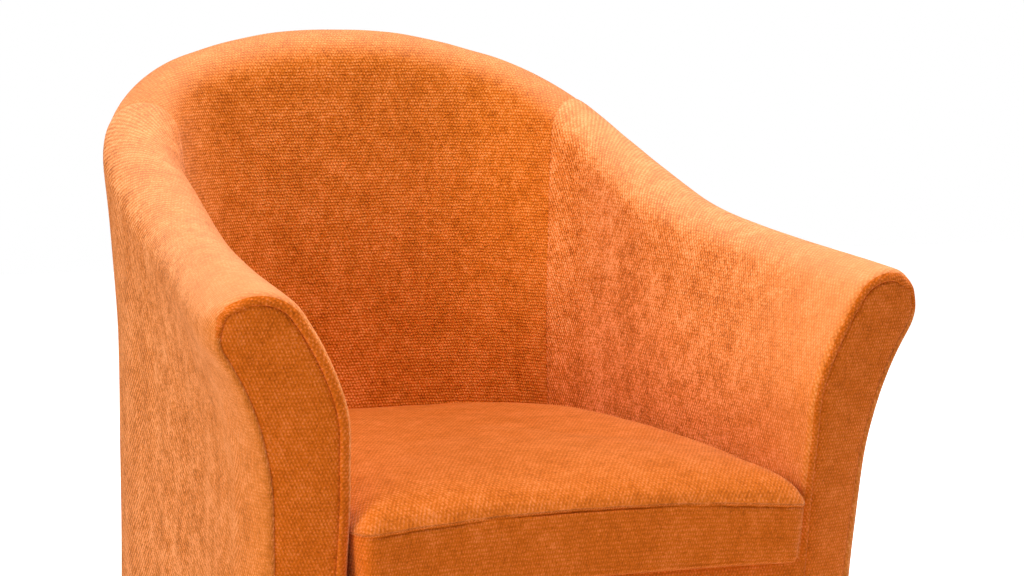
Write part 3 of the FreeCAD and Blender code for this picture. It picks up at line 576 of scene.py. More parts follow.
def sewn(piece, thickness=0.0018, levels=1):
    """Rounds a grid of cloth and gives it its thickness, inwards."""
    pick(piece)
    rounding = piece.modifiers.new("rounding", "SUBSURF")
    rounding.levels = rounding.render_levels = levels
    rounding.boundary_smooth = "PRESERVE_CORNERS"
    if thickness:
        body = piece.modifiers.new("body", "SOLIDIFY")
        body.thickness = thickness
        body.offset = -1
    for modifier in list(piece.modifiers):
        bpy.ops.object.modifier_apply(modifier=modifier.name)
    bpy.ops.object.shade_smooth()
    return piece


def dress(piece, body, material, slot, *nodes):
    """Gives a piece its material and says what it rides on and stands for."""
    piece.data.materials.clear()
    piece.data.materials.append(material)
    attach(piece, body)
    if nodes:
        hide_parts(*nodes)
    return piece


# Arm covers
# One length of cloth for each arm, pulled from inside over the crest and down to the foot. It
# turns the arm's front edge in a soft roll and is sewn to the front panel there, and to the
# back's covers at the shoulder.

inner_roll, outer_roll = 0.0088, 0.062
outer_bulge, bulge_run = 0.0032, 0.09
inner_swell, swell_run = 0.0088, 0.12
swell_foot, swell_rise, swell_top = 0.43, 0.07, 0.55
outer_start, outer_change = 0.35, 0.5
outside_inset, foot_inset = 0.0056, 0.0090
inset_full, inset_fall = 0.46, 0.15
corner_part, corner_inset, corner_reach = 0.60, 0.0030, 0.007
seam_lip, groove_depth = 0.0013, 0.0019
arm_rows = steps(
    (INSIDE_FACE, 18), (INSIDE_LEAN, 14), (CREST, 16), (OUTSIDE_LEAN, 14), (OUTSIDE_FACE, 18))
front_normal = Vector((toe, -1, -rake)).normalized()


def front_y(x, z):
    return arm_front - rake * (z - flare_start) + toe * (x - arm_half_run)


def tip_share(row):
    """Share at which a row of the right arm meets the plane of the arm's front."""
    share = 0.0
    for _ in range(12):
        point = Section(share).at(row)[0]
        share += (front_y(point.x, point.z) - point.y) / path_length
    return share


def swell(row, height, to_tip):
    """How far the padding swells the inside of an arm towards its front."""
    on_crest = max(1 - row[1] / swell_top, 0) ** 2 if row[0] == CREST else 0
    inside = 1 if row[0] < CREST else on_crest
    above_foot = eased((height - swell_foot) / swell_rise)
    return inner_swell * inside * above_foot * hump(max(to_tip, 0), swell_run)


tip_shares = {row: tip_share(row) for row in arm_rows}
tip_points = {}
for row in arm_rows:
    point, outwards = Section(tip_shares[row]).at(row)
    tip_points[row] = point + outwards * swell(row, point.z, 0)
tip_inwards = {}
for index, row in enumerate(arm_rows):
    before = tip_points[arm_rows[max(index - 1, 0)]]
    after = tip_points[arm_rows[min(index + 1, len(arm_rows) - 1)]]
    tip_inwards[row] = (after - before).cross(front_normal).normalized()


def outer_part(row):
    """Rises from 0 on the inside of an arm to 1 on its outside."""
    if row[0] == CREST:
        return clamped((row[1] - outer_start) / outer_change) ** 2
    return 0 if row[0] < CREST else 1


def roll_depth(row):
    return inner_roll + (outer_roll - inner_roll) * outer_part(row)


def roll_inset(row):
    """How far the panel's seam stands in from the arm's edge. It comes to a corner at the top."""
    height = tip_points[row].z
    outside = outside_inset + foot_inset * clamped((inset_full - height) / inset_fall)
    corner = corner_inset * hump(tip_down[row] - corner_down, corner_reach)
    return inner_roll + (outside - inner_roll) * outer_part(row) - corner


tip_down = {row: Section(0.0).down_to(row) for row in arm_rows}
corner_down = Section(0.0).down_to((CREST, corner_part))

# Shallow upright draws in the cloth of the outside
streak_width, streak_length, streak_depth, streak_end = 0.028, 0.16, 0.0009, 0.05

# Columns of an arm cover: in the front's plane, round the edge, then back along the arm. The first
# few face the front and take the darker copy of the cloth, painted shade.
arm_steps = 52
run_end = 0.018
seam_aways = [0.0, 0.0015, 0.003, 0.006, 0.012]
seam_zone = seam_aways[-1]
facing_columns = 6
arm_columns = [("groove", math.pi / 2), ("lip", math.pi / 2)]
arm_columns += [("roll", math.radians(angle)) for angle in range(90, 0, -10)]
arm_columns += [("run", run) for run in (0.0, 0.004, 0.010, run_end)]
arm_columns += [("share", step / arm_steps) for step in range(1, arm_steps)]
arm_columns += [("seam", away) for away in reversed(seam_aways)]


def arm_share(column, row):
    """Share of the path for a column that lies along the arm."""
    kind, value = column
    first = tip_shares[row] + (roll_depth(row) + run_end) / path_length
    if kind == "run":
        return tip_shares[row] + (roll_depth(row) + value) / path_length
    if kind == "share":
        return first + (seam_at(row) - seam_zone / path_length - first) * value
    return seam_at(row) - value / path_length


def bulge(row, to_tip):
    """How far the padding swells the outside of an arm behind its front edge."""
    return outer_bulge * outer_part(row) * hump(max(to_tip - outer_roll, 0), bulge_run)


def arm_tip(column, row):
    """Point on the roll of the arm's front edge, or in the groove inside it."""
    kind, angle = column
    edge, inwards = tip_points[row], tip_inwards[row]
    depth, inset = roll_depth(row), roll_inset(row)
    behind, outwards = Section(tip_shares[row] + depth / path_length).at(row)
    behind += outwards * swell(row, behind.z, depth)
    point = edge + (behind - edge) * (1 - math.sin(angle))
    point += inwards * inset * (1 - math.cos(angle))
    point += outwards * bulge(row, depth) * math.cos(angle)
    gather = pucker(tip_down[row], 0.004 + depth * (math.pi / 2 - angle), seed=3.0)
    point += (front_normal * math.sin(angle) - inwards * math.cos(angle)) * gather
    if kind == "lip":
        point += inwards * seam_lip / 2 - front_normal * groove_depth / 3
    if kind == "groove":
        point += inwards * seam_lip - front_normal * groove_depth
    turned_in = {"groove": 0.002, "lip": 0.001}.get(kind, 0)
    flat = tip_shares[row] * path_length + depth * (1 - angle) - turned_in
    return point, (flat, Section(max(tip_shares[row], 0)).down_to(row))


def arm_cloth(column, row):
    if column[0] in ("groove", "lip", "roll"):
        return arm_tip(column, row)
    share = arm_share(column, row)
    point, normal, flat = on_wall(share, row)
    to_seam = (seam_at(row) - share) * path_length
    to_tip = (share - tip_shares[row]) * path_length
    rise = pucker(flat[1], to_tip, seed=3.0, pitch=0.011, reach=0.016, depth=0.0008)
    rise += pucker(flat[1], to_seam, seed=7.0, pitch=0.012, reach=0.020, depth=0.0006)
    rise += ripple(point, pitch=0.11, depth=0.0010, seed=11.0)
    rise += bulge(row, to_tip) + trim(share, row) + swell(row, point.z, to_tip)
    if row[0] in (OUTSIDE_LEAN, OUTSIDE_FACE):
        streak = noise.noise(Vector((flat[0] / streak_width, point.z / streak_length, 5.0)))
        fading = min(1, to_tip / streak_end) * min(1, to_seam / streak_end)
        rise += streak_depth * streak * fading
    return point + normal * (rise - seam_sink(to_seam)), flat


def left_side(place):
    """The same place on the chair's left side."""
    def placed(column, row):
        point, flat = place(column, row)
        return Vector((-point.x, point.y, point.z)), flat
    return placed


for side, sign, place in (("right", 1, arm_cloth), ("left", -1, left_side(arm_cloth))):
    middle = (sign * arm_half_run, 0, flare_start)
    cover = cloth_grid("arm_cloth_" + side, arm_columns, arm_rows, place, middle)
    # Faces at the front edge take the darker copy of the cloth: painted shade where less light
    # reaches
    for polygon in cover.data.polygons:
        row, column = divmod(polygon.index, len(arm_columns) - 1)
        if column < facing_columns * (1 - outer_part(arm_rows[row])):
            polygon.material_index = 1
    facing = [polygon.material_index for polygon in sewn(cover).data.polygons]
    dress(cover, "chair", arm_chenille, "upholstery", "arm_cover_" + side, "arm_wadding_" + side)
    cover.data.materials.append(shaded_front_chenille)
    cover.data.polygons.foreach_set("material_index", facing)


# Arm front panels
# A shaped strip of the same cloth over thin wadding closes the front of each arm. Its edge is
# sewn to the roll of the arm's cover, a little in from the corner.

panel_pillow, pillow_reach, groove_width = 0.0022, 0.007, 0.0013
panel_gathers, gather_pitch = 20, 0.009
panel_rows = arm_rows[:len(arm_rows) // 2 + 1]
across_from = dict(zip(arm_rows, reversed(arm_rows)))
across_panel = [
    0.0, 0.025, 0.06, 0.11, 0.18, 0.27, 0.38, 0.5, 0.62, 0.73, 0.82, 0.89, 0.94, 0.975, 1.0]


def panel_edge(row):
    return tip_points[row] + tip_inwards[row] * (roll_inset(row) + seam_lip)


panel_rim = [panel_edge(row) for row in arm_rows]


def to_rim(point):
    """Distance from a place on the panel to its sewn edge."""
    return min((point - rim).length for rim in panel_rim)


def front_panel(column, row):
    inner, outer = panel_edge(row), panel_edge(across_from[row])
    point = inner.lerp(outer, column)
    away = min(to_rim(point), min(column, 1 - column) * (outer - inner).length)
    lift = panel_pillow * (1 - math.exp(-away / pillow_reach))
    lift -= groove_depth * hump(away, groove_width)
    along = row[0] + row[1] * panel_gathers + point.z / gather_pitch
    lift += pucker(along, away, seed=23.0 + round(column), pitch=1.0, reach=0.012, depth=0.0006)
    lift += ripple(point, pitch=0.06, depth=0.0005, seed=29.0)
    return point + front_normal * lift, (point.x, point.z)


def merged(piece, distance, closed=False):
    """Joins corners that meet, and turns the faces of a closed piece outwards."""
    pick(piece)
    bpy.ops.object.mode_set(mode="EDIT")
    bpy.ops.mesh.select_all(action="SELECT")
    bpy.ops.mesh.remove_doubles(threshold=distance)
    if closed:
        bpy.ops.mesh.normals_make_consistent(inside=False)
    bpy.ops.object.mode_set(mode="OBJECT")
    return piece


# The panels take the darker copy of the cloth: painted shade, as they face the front
for side, place in (("right", front_panel), ("left", left_side(front_panel))):
    panel = cloth_grid("front_panel_" + side, across_panel, panel_rows, place, (0, 0, flare_start))
    dress(
        sewn(merged(panel, 0.00002)), "chair", shaded_front_chenille, "upholstery",
        "arm_front_panel_" + side, "arm_front_wadding_" + side)


# Back covers
# The inside back's cloth runs up over the crest to a seam along its outer edge, where the plain
# outside back is sewn on. Both meet the arm covers in an upright seam at each shoulder.

inside_back_foot = 0.55
inside_back_rows = [
    (INSIDE_FACE, inside_back_foot + (1 - inside_back_foot) * step / 9) for step in range(9)]
inside_back_rows += steps((INSIDE_LEAN, 30), (CREST, 14))[:-1]
inside_back_rows += [(CREST, part) for part in (0.94, 0.97, 0.99, 1.0)]
inside_back_rows.remove((CREST, 13 / 14))
outside_back_rows = [(OUTSIDE_LEAN, part) for part in (0.0, 0.004, 0.010, 0.020, 0.04)]
outside_back_rows += [(OUTSIDE_LEAN, 0.04 + 0.96 * step / 24) for step in range(1, 24)]
outside_back_rows += steps((OUTSIDE_FACE, 18))
back_steps = 60
back_columns = [(0, away) for away in seam_aways]
back_columns += [(step / back_steps, 0) for step in range(1, back_steps)]
back_columns += [(1, -away) for away in reversed(seam_aways)]


def back_cloth(column, row):
    part, away = column
    first = seam_at(row)
    inner = first + seam_zone / path_length
    if part in (0, 1):
        share = (first if part == 0 else 2 - first) + away / path_length
    else:
        share = inner + (2 - 2 * inner) * part
    point, normal, flat = on_wall(share, row)
    to_seam = (min(share, 2 - share) - first) * path_length
    to_crest = abs(flat[1] - Section(share).down_to((CREST, 1.0)))
    rise = pucker(flat[1], to_seam, seed=17.0, pitch=0.012, reach=0.020, depth=0.0006)
    rise += pucker(flat[0], to_crest, seed=31.0, pitch=0.013, reach=0.018, depth=0.0005)
    rise += ripple(point, pitch=0.13, depth=0.0010, seed=13.0) + trim(share, row)
    return point + normal * (rise - max(seam_sink(to_seam), seam_sink(to_crest))), flat


inside_back = cloth_grid(
    "inside_back_cloth", back_columns, inside_back_rows, back_cloth, (0, 0.30, 0.5))
dress(
    sewn(inside_back), "chair", back_chenille, "upholstery", "inside_back_cover", "back_wadding")
outside_back = cloth_grid(
    "outside_back_cloth", back_columns, outside_back_rows, back_cloth, (0, 0.1, 0.5))
dress(sewn(outside_back), "chair", back_chenille, "upholstery", "outside_back_cover")


# Seat deck
# A padded border of cover cloth closes the front between the arms, rolls over the front rail and
# is sewn to the dark platform cloth that is stretched over the deck foam.

seat_half = arm_half_run - arm_thickness / 2
border_recess = -0.0010
border_roll = 0.0095
border_half = seat_half + 0.0098
lip_depth = 0.075
deck_face = deck_height - 0.0003
border_pillow, pillow_end = 0.002, 0.02
end_pinch, pinch_reach = 0.0012, 0.003
border_rows = [("front", step / 12) for step in range(13)]
border_rows += [("roll", math.radians(angle)) for angle in (22.5, 45, 67.5)]
border_rows += [("deck", part) for part in (0.0, 0.2, 0.4, 0.6, 0.75, 0.87, 0.94, 0.97, 1.0)]
border_columns = [-1.0, -0.99, -0.975, -0.95] + [-0.9 + 1.8 * step / 36 for step in range(37)]
border_columns += [0.95, 0.975, 0.99, 1.0]


def border_y(z):
    return front_y(seat_half, z) + border_recess


border_top = deck_face - border_roll
roll_y = border_y(border_top) + border_roll


def seat_border(column, row):
    kind, part = row
    x = column * (seat_half if kind == "deck" else border_half)
    to_end = (1 - abs(column)) * seat_half
    if kind == "front":
        flat = wall_foot + (border_top - wall_foot) * part
        point, normal = Vector((x, border_y(flat), flat)), Vector((0, -1, -rake)).normalized()
    elif kind == "roll":
        normal = Vector((0, -math.cos(part), math.sin(part)))
        point = Vector((x, roll_y, border_top)) + normal * border_roll
        flat = border_top + border_roll * part
    else:
        point, normal = Vector((x, roll_y + lip_depth * part, deck_face)), Vector((0, 0, 1))
        flat = border_top + border_roll * math.pi / 2 + lip_depth * part
    lift = -end_pinch * math.exp(-to_end / pinch_reach)
    if kind == "front":
        lift += border_pillow * math.sin(math.pi * part) * (1 - math.exp(-to_end / pillow_end))
        lift += ripple(point, pitch=0.07, depth=0.0007, seed=37.0)
    if kind == "deck":
        lift -= seam_sink((1 - part) * lip_depth, depth=0.0005)
    return point + normal * lift, (x, flat)


# The border takes the darker copy of the cloth: painted shade, as it faces the front
border = cloth_grid(
    "seat_border_cloth", border_columns, border_rows, seat_border, (0, 0, 0.2))
dress(
    sewn(border), "chair", shaded_front_chenille, "upholstery", "front_border_cover",
    "front_border_wadding")


def tub_side(inset, first, last, count=80):
    """Points along the inside of the tub at an inset, from one share of its path to another."""
    sections = [Section(first + (last - first) * step / count) for step in range(count + 1)]
    return [section.lay(-section.half - inset, 0, 0)[0] for section in sections]


# Share of the path where the outline's side ends and its back begins, about the middle of the turn
shoulder_share = 0.70
SIDE_STEPS, FRONT_STEPS = 30, 44


def tub_outline(inset, front, corner):
    """Outline of a flat piece that fills the tub, as its front, right side, back and left side.

    Each runs anticlockwise seen from above, and starts where the last one ends."""
    def arc(start):
        """An eighth of a circle round the right front corner."""
        angles = [start + math.radians(angle) for angle in range(0, 46, 5)]
        return [
            centre + Vector((math.sin(angle), -math.cos(angle), 0)) * corner for angle in angles]

    def mirrored(points):
        return [Vector((-point.x, point.y, 0)) for point in reversed(points)]

    arm_side = tub_side(inset, 0, 0, 1)[0].x
    centre = Vector((arm_side - corner, front + corner, 0))
    front_line = mirrored(arc(0)) + arc(0)
    start_share = (front + corner - arm_front) / path_length
    side_line = arc(math.pi / 4) + tub_side(inset, start_share, shoulder_share)[1:]
    back_line = tub_side(inset, shoulder_share, 2 - shoulder_share)
    return [
        Line(points).even(FRONT_STEPS if index % 2 == 0 else SIDE_STEPS)
        for index, points in enumerate((front_line, side_line, back_line, mirrored(side_line)))]


def inside_outline(outline, column, row):
    """Place inside an outline by its four sides, at a column across and a row back."""
    front, right, back, left = outline
    across, along = column / FRONT_STEPS, row / SIDE_STEPS
    low, high = front[column], back[FRONT_STEPS - column]
    near, far = left[SIDE_STEPS - row], right[row]
    point = low * (1 - along) + high * along + near * (1 - across) + far * across
    point -= front[0] * (1 - across) * (1 - along) + front[-1] * across * (1 - along)
    point -= back[-1] * (1 - across) * along + back[0] * across * along
    return point


deck_columns, deck_rows = range(FRONT_STEPS + 1), range(SIDE_STEPS + 1)
deck_length, deck_step = 0.4, 0.011
edge_draw, edge_reach = 0.0002, 0.01
platform_outline = tub_outline(0.0006, roll_y + lip_depth, 0.0008)


def steps_in(column, row):
    """Count of steps from a crossing to the nearest edge."""
    return min(row, SIDE_STEPS - row, column, FRONT_STEPS - column)


def platform_cloth(column, row):
    point = inside_outline(platform_outline, column, row)
    to_front = row / SIDE_STEPS * deck_length
    to_edge = steps_in(column, row) * deck_step
    point.z = deck_face - seam_sink(to_front, depth=0.0004, reach=0.004)
    point.z -= edge_draw * math.exp(-to_edge / edge_reach)
    point.z += ripple(point, pitch=0.05, depth=0.0002)
    return point, (point.x, point.y)


def plain_weave(name, dark, light, threads, roughness):
    """Thin woven or bonded cloth, its threads so many to the metre."""
    cloth = Finish(name, roughness)
    weave = new_node(
        cloth.tree, "TexWave", "Fac", Vector=cloth.place, Scale=threads, Distortion=1.5)
    shade = weave * 0.5 + cloth.mottle(500, 3.0, 0.7) * 0.5
    cloth.bumped(shade, 0.0003, 0.5)
    return cloth.done(shade, (0.2, dark), (0.8, light))


platform = cloth_grid("platform_cloth", deck_columns, deck_rows, platform_cloth, (0, 0, 0))
sewn(platform, 0.0008)
platform_weave = plain_weave(
    "platform_cloth", (0.012, 0.011, 0.010), (0.045, 0.042, 0.038), 180, 0.85)
dress(platform, "chair", platform_weave, "deck_cloth", "deck_cloth")


# Seat cushion
# A loose boxed cushion, cut to the tub and open to the front. Its top is crowned over a soft
# topper, its border stands between two plain seams, and it is filled until the cloth is full.

cushion_clearance = 0.0025
zip_centre, zip_radius, zip_height = -0.2278, 0.5108, 0.3475
zip_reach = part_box("zip_stops")[1][0] + 0.002
cushion_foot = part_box("cushion_base_cover")[0][2] + 0.0004
cushion_border = 0.0606
cushion_seam = cushion_foot + cushion_border
cushion_corner = 0.014
cushion_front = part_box("cushion_top_cover")[0][1] - 0.010
foot_tuck, middle_tuck = 0.007, 0.003
foot_round, foot_round_reach = 0.009, 0.05
front_lift, front_bow, front_zone = 0.008, 0.013, 0.09


def border_inset(share):
    """How far the border stands in from its widest, from the foot at 0 to the top seam at 1."""
    tuck = foot_tuck * (1 - share) * (1 - 2 * share) + 4 * middle_tuck * share * (1 - share)
    return tuck + foot_round * math.exp(-share / foot_round_reach)


@functools.cache
def cushion_ring(share):
    """Outline of the border at a share of its height, or the cushion's widest if it is None."""
    inset = 0.0 if share is None else round(border_inset(share), 6)
    return tub_outline(cushion_clearance + inset, cushion_front + inset, cushion_corner - inset)


@functools.cache
def cushion_loop(share):
    """The same outline as one closed loop of points."""
    outline = cushion_ring(share)
    return [point for side in outline for point in side[:-1]] + outline[0][:1]


cushion_rim = cushion_loop(None)[:-1]
rim_ys = [point.y for point in cushion_rim]
cushion_centre = Vector((0, (min(rim_ys) + max(rim_ys)) / 2, 0))
rim_reach = sorted(
    (math.atan2(p.y - cushion_centre.y, p.x), (p - cushion_centre).length) for p in cushion_rim)


def reach_towards(point):
    """Distance from the cushion's middle to its rim in the direction of a point."""
    angle = math.atan2(point.y - cushion_centre.y, point.x)
    index = bisect_right(rim_reach, (angle, math.inf))
    (low, near), (high, far) = rim_reach[index - 1], rim_reach[index % len(rim_reach)]
    part = (angle - low) % math.tau / max((high - low) % math.tau, 0.000001)
    return near + (far - near) * part


# Crown of the cushion's top towards its sides, front and back: height, fullness and shoulder
side_crown = (0.047, 7.0, 0.34)
front_crown = (0.047, 3.2, 0.47)
back_crown = (0.036, 4.0, 0.50)


def crown_rise(share, direction):
    """Height above the seam, at a share of the way from the middle to the rim."""
    weights = (direction.x ** 2, max(-direction.y, 0) ** 2, max(direction.y, 0) ** 2)
    crowns = (side_crown, front_crown, back_crown)
    height, fullness, shoulder = (
        sum(weight * crown[index] for weight, crown in zip(weights, crowns)) for index in range(3))
    height = side_crown[0] + (height - side_crown[0]) * share ** 2
    return height * max(1 - share ** fullness, 0) ** shoulder


def seam_height(point):
    """The top seam rises along the middle of the front, and drops at the front's corners."""
    near_front = hump(point.y - cushion_front, front_zone)
    return cushion_seam + near_front * (front_lift - front_bow * (point.x / seat_half) ** 2)


def on_crown(flat_point):
    """Point on the crown above a place in plan, and its place on the uncut cloth."""
    out = flat_point - cushion_centre
    reach = reach_towards(flat_point)
    share = min(out.length / reach, 1)
    direction = out.normalized() if out.length > 0 else Vector((1, 0, 0))
    length, count = 0.0, 24
    for step in range(count):
        start, end = share * step / count, share * (step + 1) / count
        rise = crown_rise(end, direction) - crown_rise(start, direction)
        length += math.hypot((end - start) * reach, rise)
    height = seam_height(cushion_centre + direction * reach) * share + cushion_seam * (1 - share)
    point = Vector((flat_point.x, flat_point.y, height + crown_rise(share, direction)))
    spot = cushion_centre + direction * length
    return point, (spot.x, spot.y)


patch_share = 0.90


def shrunk(point, share):
    """Place at a share of the way from the cushion's middle to a point."""
    return cushion_centre + (point - cushion_centre) * share


def top_patch(column, row):
    return on_crown(shrunk(inside_outline(cushion_ring(None), column, row), patch_share))


round_columns = range(2 * (FRONT_STEPS + SIDE_STEPS) + 1)
round_step = 0.0134
foot_share = 0.93
front_droop, corner_droop, droop_start, droop_change = 0.0045, 0.8, 0.028, 0.020
border_shares = [
    0.0, 0.012, 0.03, 0.05, 0.075, 0.10, 0.115, 0.13, 0.15, 0.175, 0.23, 0.31, 0.42, 0.53, 0.64,
    0.75, 0.85, 0.915, 0.94, 0.957, 0.972, 0.987, 1.0]
shoulder_shares = [
    0.999998, 0.998, 0.994, 0.988, 0.980, 0.970, 0.957, 0.942, 0.926, patch_share]
wrap_rows = [("foot", foot_share)] + [("border", share) for share in border_shares]
wrap_rows += [("shoulder", share) for share in shoulder_shares]


def foot_height(point):
    """The cushion's underside, which droops where it overhangs the border."""
    ahead = eased((cushion_front + droop_start - point.y) / droop_change)
    return cushion_foot - front_droop * ahead * (1 + corner_droop * (point.x / seat_half) ** 4)


def cushion_wrap(column, row):
    kind, share = row
    run = column * round_step
    if kind == "shoulder":
        return on_crown(shrunk(cushion_loop(None)[column], share))
    if kind == "border":
        point = cushion_loop(share)[column].copy()
        low, high = foot_height(point), seam_height(point)
        point.z = low + (high - low) * share
        return point, (run, cushion_foot + cushion_border * share)
    point = shrunk(cushion_loop(0.0)[column], share)
    point.z = foot_height(point)
    return point, (run, cushion_foot - 0.01)


def foot_patch(column, row):
    point = shrunk(inside_outline(cushion_ring(0.0), column, row), foot_share)
    point.z = foot_height(point)
    return point, (point.x, point.y)


cushion = cloth_grid("seat_cushion_cloth", deck_columns, deck_rows, top_patch)
wrap = cloth_grid("cushion_wrap", round_columns, wrap_rows, cushion_wrap)
foot = cloth_grid("cushion_foot", deck_columns, deck_rows, foot_patch)
pick(cushion, wrap, foot)
bpy.ops.object.join()
merged(cushion, 0.0001, closed=True)


# Settings of the cloth that is filled, and how far it may move: on its crown, on its border in
# front, where it is free, and on its border within the tub
plumping = {
    "use_pressure": True, "uniform_pressure_force": 4.0, "quality": 6, "mass": 0.3,
    "tension_stiffness": 15, "compression_stiffness": 15, "bending_stiffness": 0.6,
    "shrink_min": -0.012}
plumping_frames = 20
crown_room, front_room, border_room = 0.003, 0.0015, 0.0004
foot_margin, crown_margin, front_margin = 0.002, 0.004, 0.03


def room_at(place):
    if place.z < cushion_foot + foot_margin:
        return 0
    if place.z < cushion_seam + crown_margin:
        return front_room if place.y < cushion_front + front_margin else border_room
    return crown_room


def plumped(piece):
    """Fills a closed cloth piece with air, and keeps the shape that it takes within its room."""
    rest = [vertex.co.copy() for vertex in piece.data.vertices]
    cloth = piece.modifiers.new("cloth", "CLOTH")
    for name, value in plumping.items():
        setattr(cloth.settings, name, value)
    cloth.settings.effector_weights.gravity = 0
    scene = bpy.context.scene
    for number in range(1, plumping_frames + 1):
        scene.frame_set(number)
    shaped = piece.evaluated_get(bpy.context.evaluated_depsgraph_get())
    moved = [vertex.co.copy() for vertex in shaped.data.vertices]
    piece.modifiers.remove(cloth)
    scene.frame_set(1)
    for vertex, start, end in zip(piece.data.vertices, rest, moved):
        shift, room = end - start, room_at(start)
        if shift.length > room:
            shift = shift.normalized() * room
        vertex.co = start + shift
    piece.data.update()


rest_places = [vertex.co.copy() for vertex in cushion.data.vertices]
plumped(cushion)

seam_ridge, ridge_width, groove_below = 0.0010, 0.0012, 0.0028
foot_ridge_height, foot_groove_height, foot_seam_width = 0.0092, 0.0070, 0.0014
worked_front, worked_above = 0.06, 0.001
gather_reach, wave_reach, crown_edge = 0.012, 0.01, 0.02


def seam_profile(below, above_foot):
    """How far cloth stands out beside the seams: a fine ridge, with a groove below it."""
    top_seam = 1.4 * hump(below, ridge_width) - 1.1 * hump(below - groove_below, ridge_width)
    foot_seam = hump(above_foot - foot_ridge_height, foot_seam_width)
    foot_seam -= hump(above_foot - foot_groove_height, foot_seam_width)
    return seam_ridge * (top_seam + 0.6 * foot_seam)


# The seams, with the small gathers beside them, and the unevenness of the crown
for vertex, rest in zip(cushion.data.vertices, rest_places):
    below = seam_height(rest) - rest.z
    level = Vector((rest.x, rest.y, 0))
    if -worked_above < below < cushion_border and rest.y < cushion_front + worked_front:
        out = seam_profile(below, rest.z - foot_height(rest))
        gathers = ripple(level, pitch=0.014, depth=0.0012)
        out += gathers * math.exp(-abs(below) / gather_reach)
        out += ripple(rest, pitch=0.05, depth=0.0010)
        vertex.co += (level - cushion_centre).normalized() * out
        wave = ripple(level, pitch=0.022, depth=0.0012)
        vertex.co.z += wave * math.exp(-abs(below) / wave_reach)
    elif below < 0:
        vertex.co.z += ripple(rest, pitch=0.07, depth=0.0014) * min(1, -below / crown_edge)
cushion.data.update()
sewn(cushion, 0, 2)

# The border is pressed flat behind the zip's tape, and swells again beside it
tape_half, back_from, back_half = 0.011, 0.2, 0.20
beside_swell, cloth_margin = 0.5, 0.0008
for vertex in cushion.data.vertices:
    place = vertex.co
    if place.y > back_from and abs(place.x) < back_half:
        spread = Vector((place.x, place.y - zip_centre, 0))
        beside = max(abs(place.x) - zip_reach, abs(place.z - zip_height) - tape_half, 0)
        over = spread.length - (zip_radius + beside_swell * beside)
        if over > 0:
            vertex.co -= spread.normalized() * over
dress(
    cushion, "seat_cushion", cushion_chenille, "upholstery", "cushion_top_cover",
    "cushion_border_cover", "cushion_base_cover", "cushion_foam", "cushion_topper")
# The border below the top seam takes the darker copy of the cloth: painted shade on the upright
# border, which gets less light than the crown
cushion.data.materials.append(shaded_front_chenille)
for polygon in cushion.data.polygons:
    if polygon.center.z < seam_height(polygon.center) - cloth_margin:
        polygon.material_index = 1


# Zip
# It closes the back of the cushion's border: woven tape, a moulded coil and a plated slider.

finish_nodes(
    plain_weave("zip_tape_cloth", (0.30, 0.055, 0.006), (0.50, 0.11, 0.02), 260, 0.8), "zip_tape")


def moulded(name, dark, light, roughness, scale):
    return grained(name, dark, light, roughness, scale, 3.0, 0.0002, 0.4)


finish_nodes(moulded("zip_coil", (0.22, 0.04, 0.005), (0.42, 0.09, 0.015), 0.4, 900), "zip_chain")
finish_nodes(
    steel("zip_plate", (0.42, 0.38, 0.30), (0.62, 0.58, 0.48), 0.32), "zip_stops", "zip_slider")


# Legs
# Four tapered square legs of beech, stained dark and lacquered, each bolted up through a plate
# into its corner block and shod with a nylon glide.

finish_nodes(
    timber("stained_leg", (0.018, 0.008, 0.004), (0.070, 0.030, 0.014), 0.34, (14, 14, 2), 0.0002),
    *sides("leg_front", "leg_rear"))
finish_nodes(
    moulded("nylon_glide", (0.012, 0.012, 0.012), (0.030, 0.030, 0.030), 0.5, 400), "glides")


# Dust cover
# Thin black bonded cloth, stapled under the rails, closes the underside.

dust_front = border_y(wall_foot) + 0.010
dust_outline = tub_outline(-0.0780, dust_front, 0.045)
dust_drop, dust_sag, sag_steps = 0.0004, 0.004, 8


def dust_cloth(column, row):
    point = inside_outline(dust_outline, column, row)
    sag = dust_sag * (1 - math.exp(-steps_in(column, row) / sag_steps))
    point.z = wall_foot - dust_drop - sag + ripple(point, pitch=0.04, depth=0.0006)
    return point, (point.x, point.y)


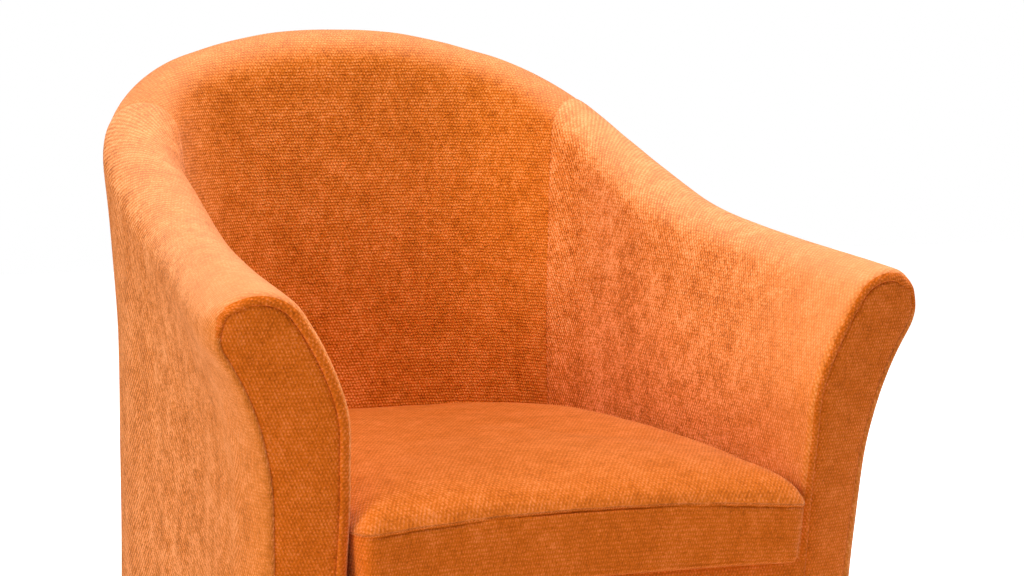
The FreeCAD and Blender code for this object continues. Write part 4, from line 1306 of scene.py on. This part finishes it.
dust = cloth_grid("dust_cloth", deck_columns, deck_rows, dust_cloth, (0, 0, 1))
sewn(dust, 0.0006)
dust_weave = plain_weave(
    "bonded_dust_cloth", (0.006, 0.006, 0.006), (0.020, 0.020, 0.020), 300, 0.9)
dress(dust, "chair", dust_weave, "dust_cloth", "dust_cover")


# Studio
# A plain pale floor that keeps the chair's shadow and turns white away from it, a white surround
# for the camera, and broad soft lamps: the main one far to the left, one above and one low on the
# right.

bpy.ops.mesh.primitive_plane_add(size=14, location=(0, 0, 0))
floor = bpy.context.object
floor.name = "floor"
pale = Finish("pale_floor", 0.9)
reach = new_node(pale.tree, "VectorMath", "Value", operation="LENGTH", Vector=pale.place)
away = new_node(
    pale.tree, "MapRange", "Result", Value=reach, From_Min=0.6, From_Max=1.7, To_Min=0.25,
    To_Max=1.0)
seen = new_node(pale.tree, "LightPath", "Is Camera Ray")
feed(pale.shader, Emission_Color=(1, 1, 1, 1), Emission_Strength=seen * away)
floor.data.materials.append(
    pale.done(pale.mottle(3), (0.3, (0.86, 0.86, 0.86)), (0.7, (0.90, 0.90, 0.90))))

surround_light = 0.04
world = bpy.data.worlds.new("surround")
bpy.context.scene.world = world
world.use_nodes = True
camera_ray, glossy_ray, through_ray = (
    new_node(world.node_tree, "LightPath", "Is " + kind + " Ray")
    for kind in ("Camera", "Glossy", "Transmission"))
direct = camera_ray.worked("MAXIMUM", glossy_ray).worked("MAXIMUM", through_ray)
feed(
    world.node_tree.nodes["Background"], Color=(1, 1, 1, 1),
    Strength=direct * (1 - surround_light) + surround_light)


def lamp(name, place, width, power, aim=Vector((0, 0, 0.5))):
    """Square soft lamp that faces a point."""
    bpy.ops.object.light_add(type="AREA", location=place)
    light = bpy.context.object
    light.name = name
    light.data.size = width
    light.data.energy = power
    light.rotation_euler = (aim - Vector(place)).to_track_quat("-Z", "Y").to_euler()


lamp("left_lamp", (-6.0, -0.8, 3.3), 3.0, 335)
lamp("top_lamp", (0, -0.9, 3.4), 1.5, 122)
lamp("right_lamp", (2.8, 0.2, 2.0), 2.4, 66)
bpy.context.scene.view_settings.view_transform = "Standard"
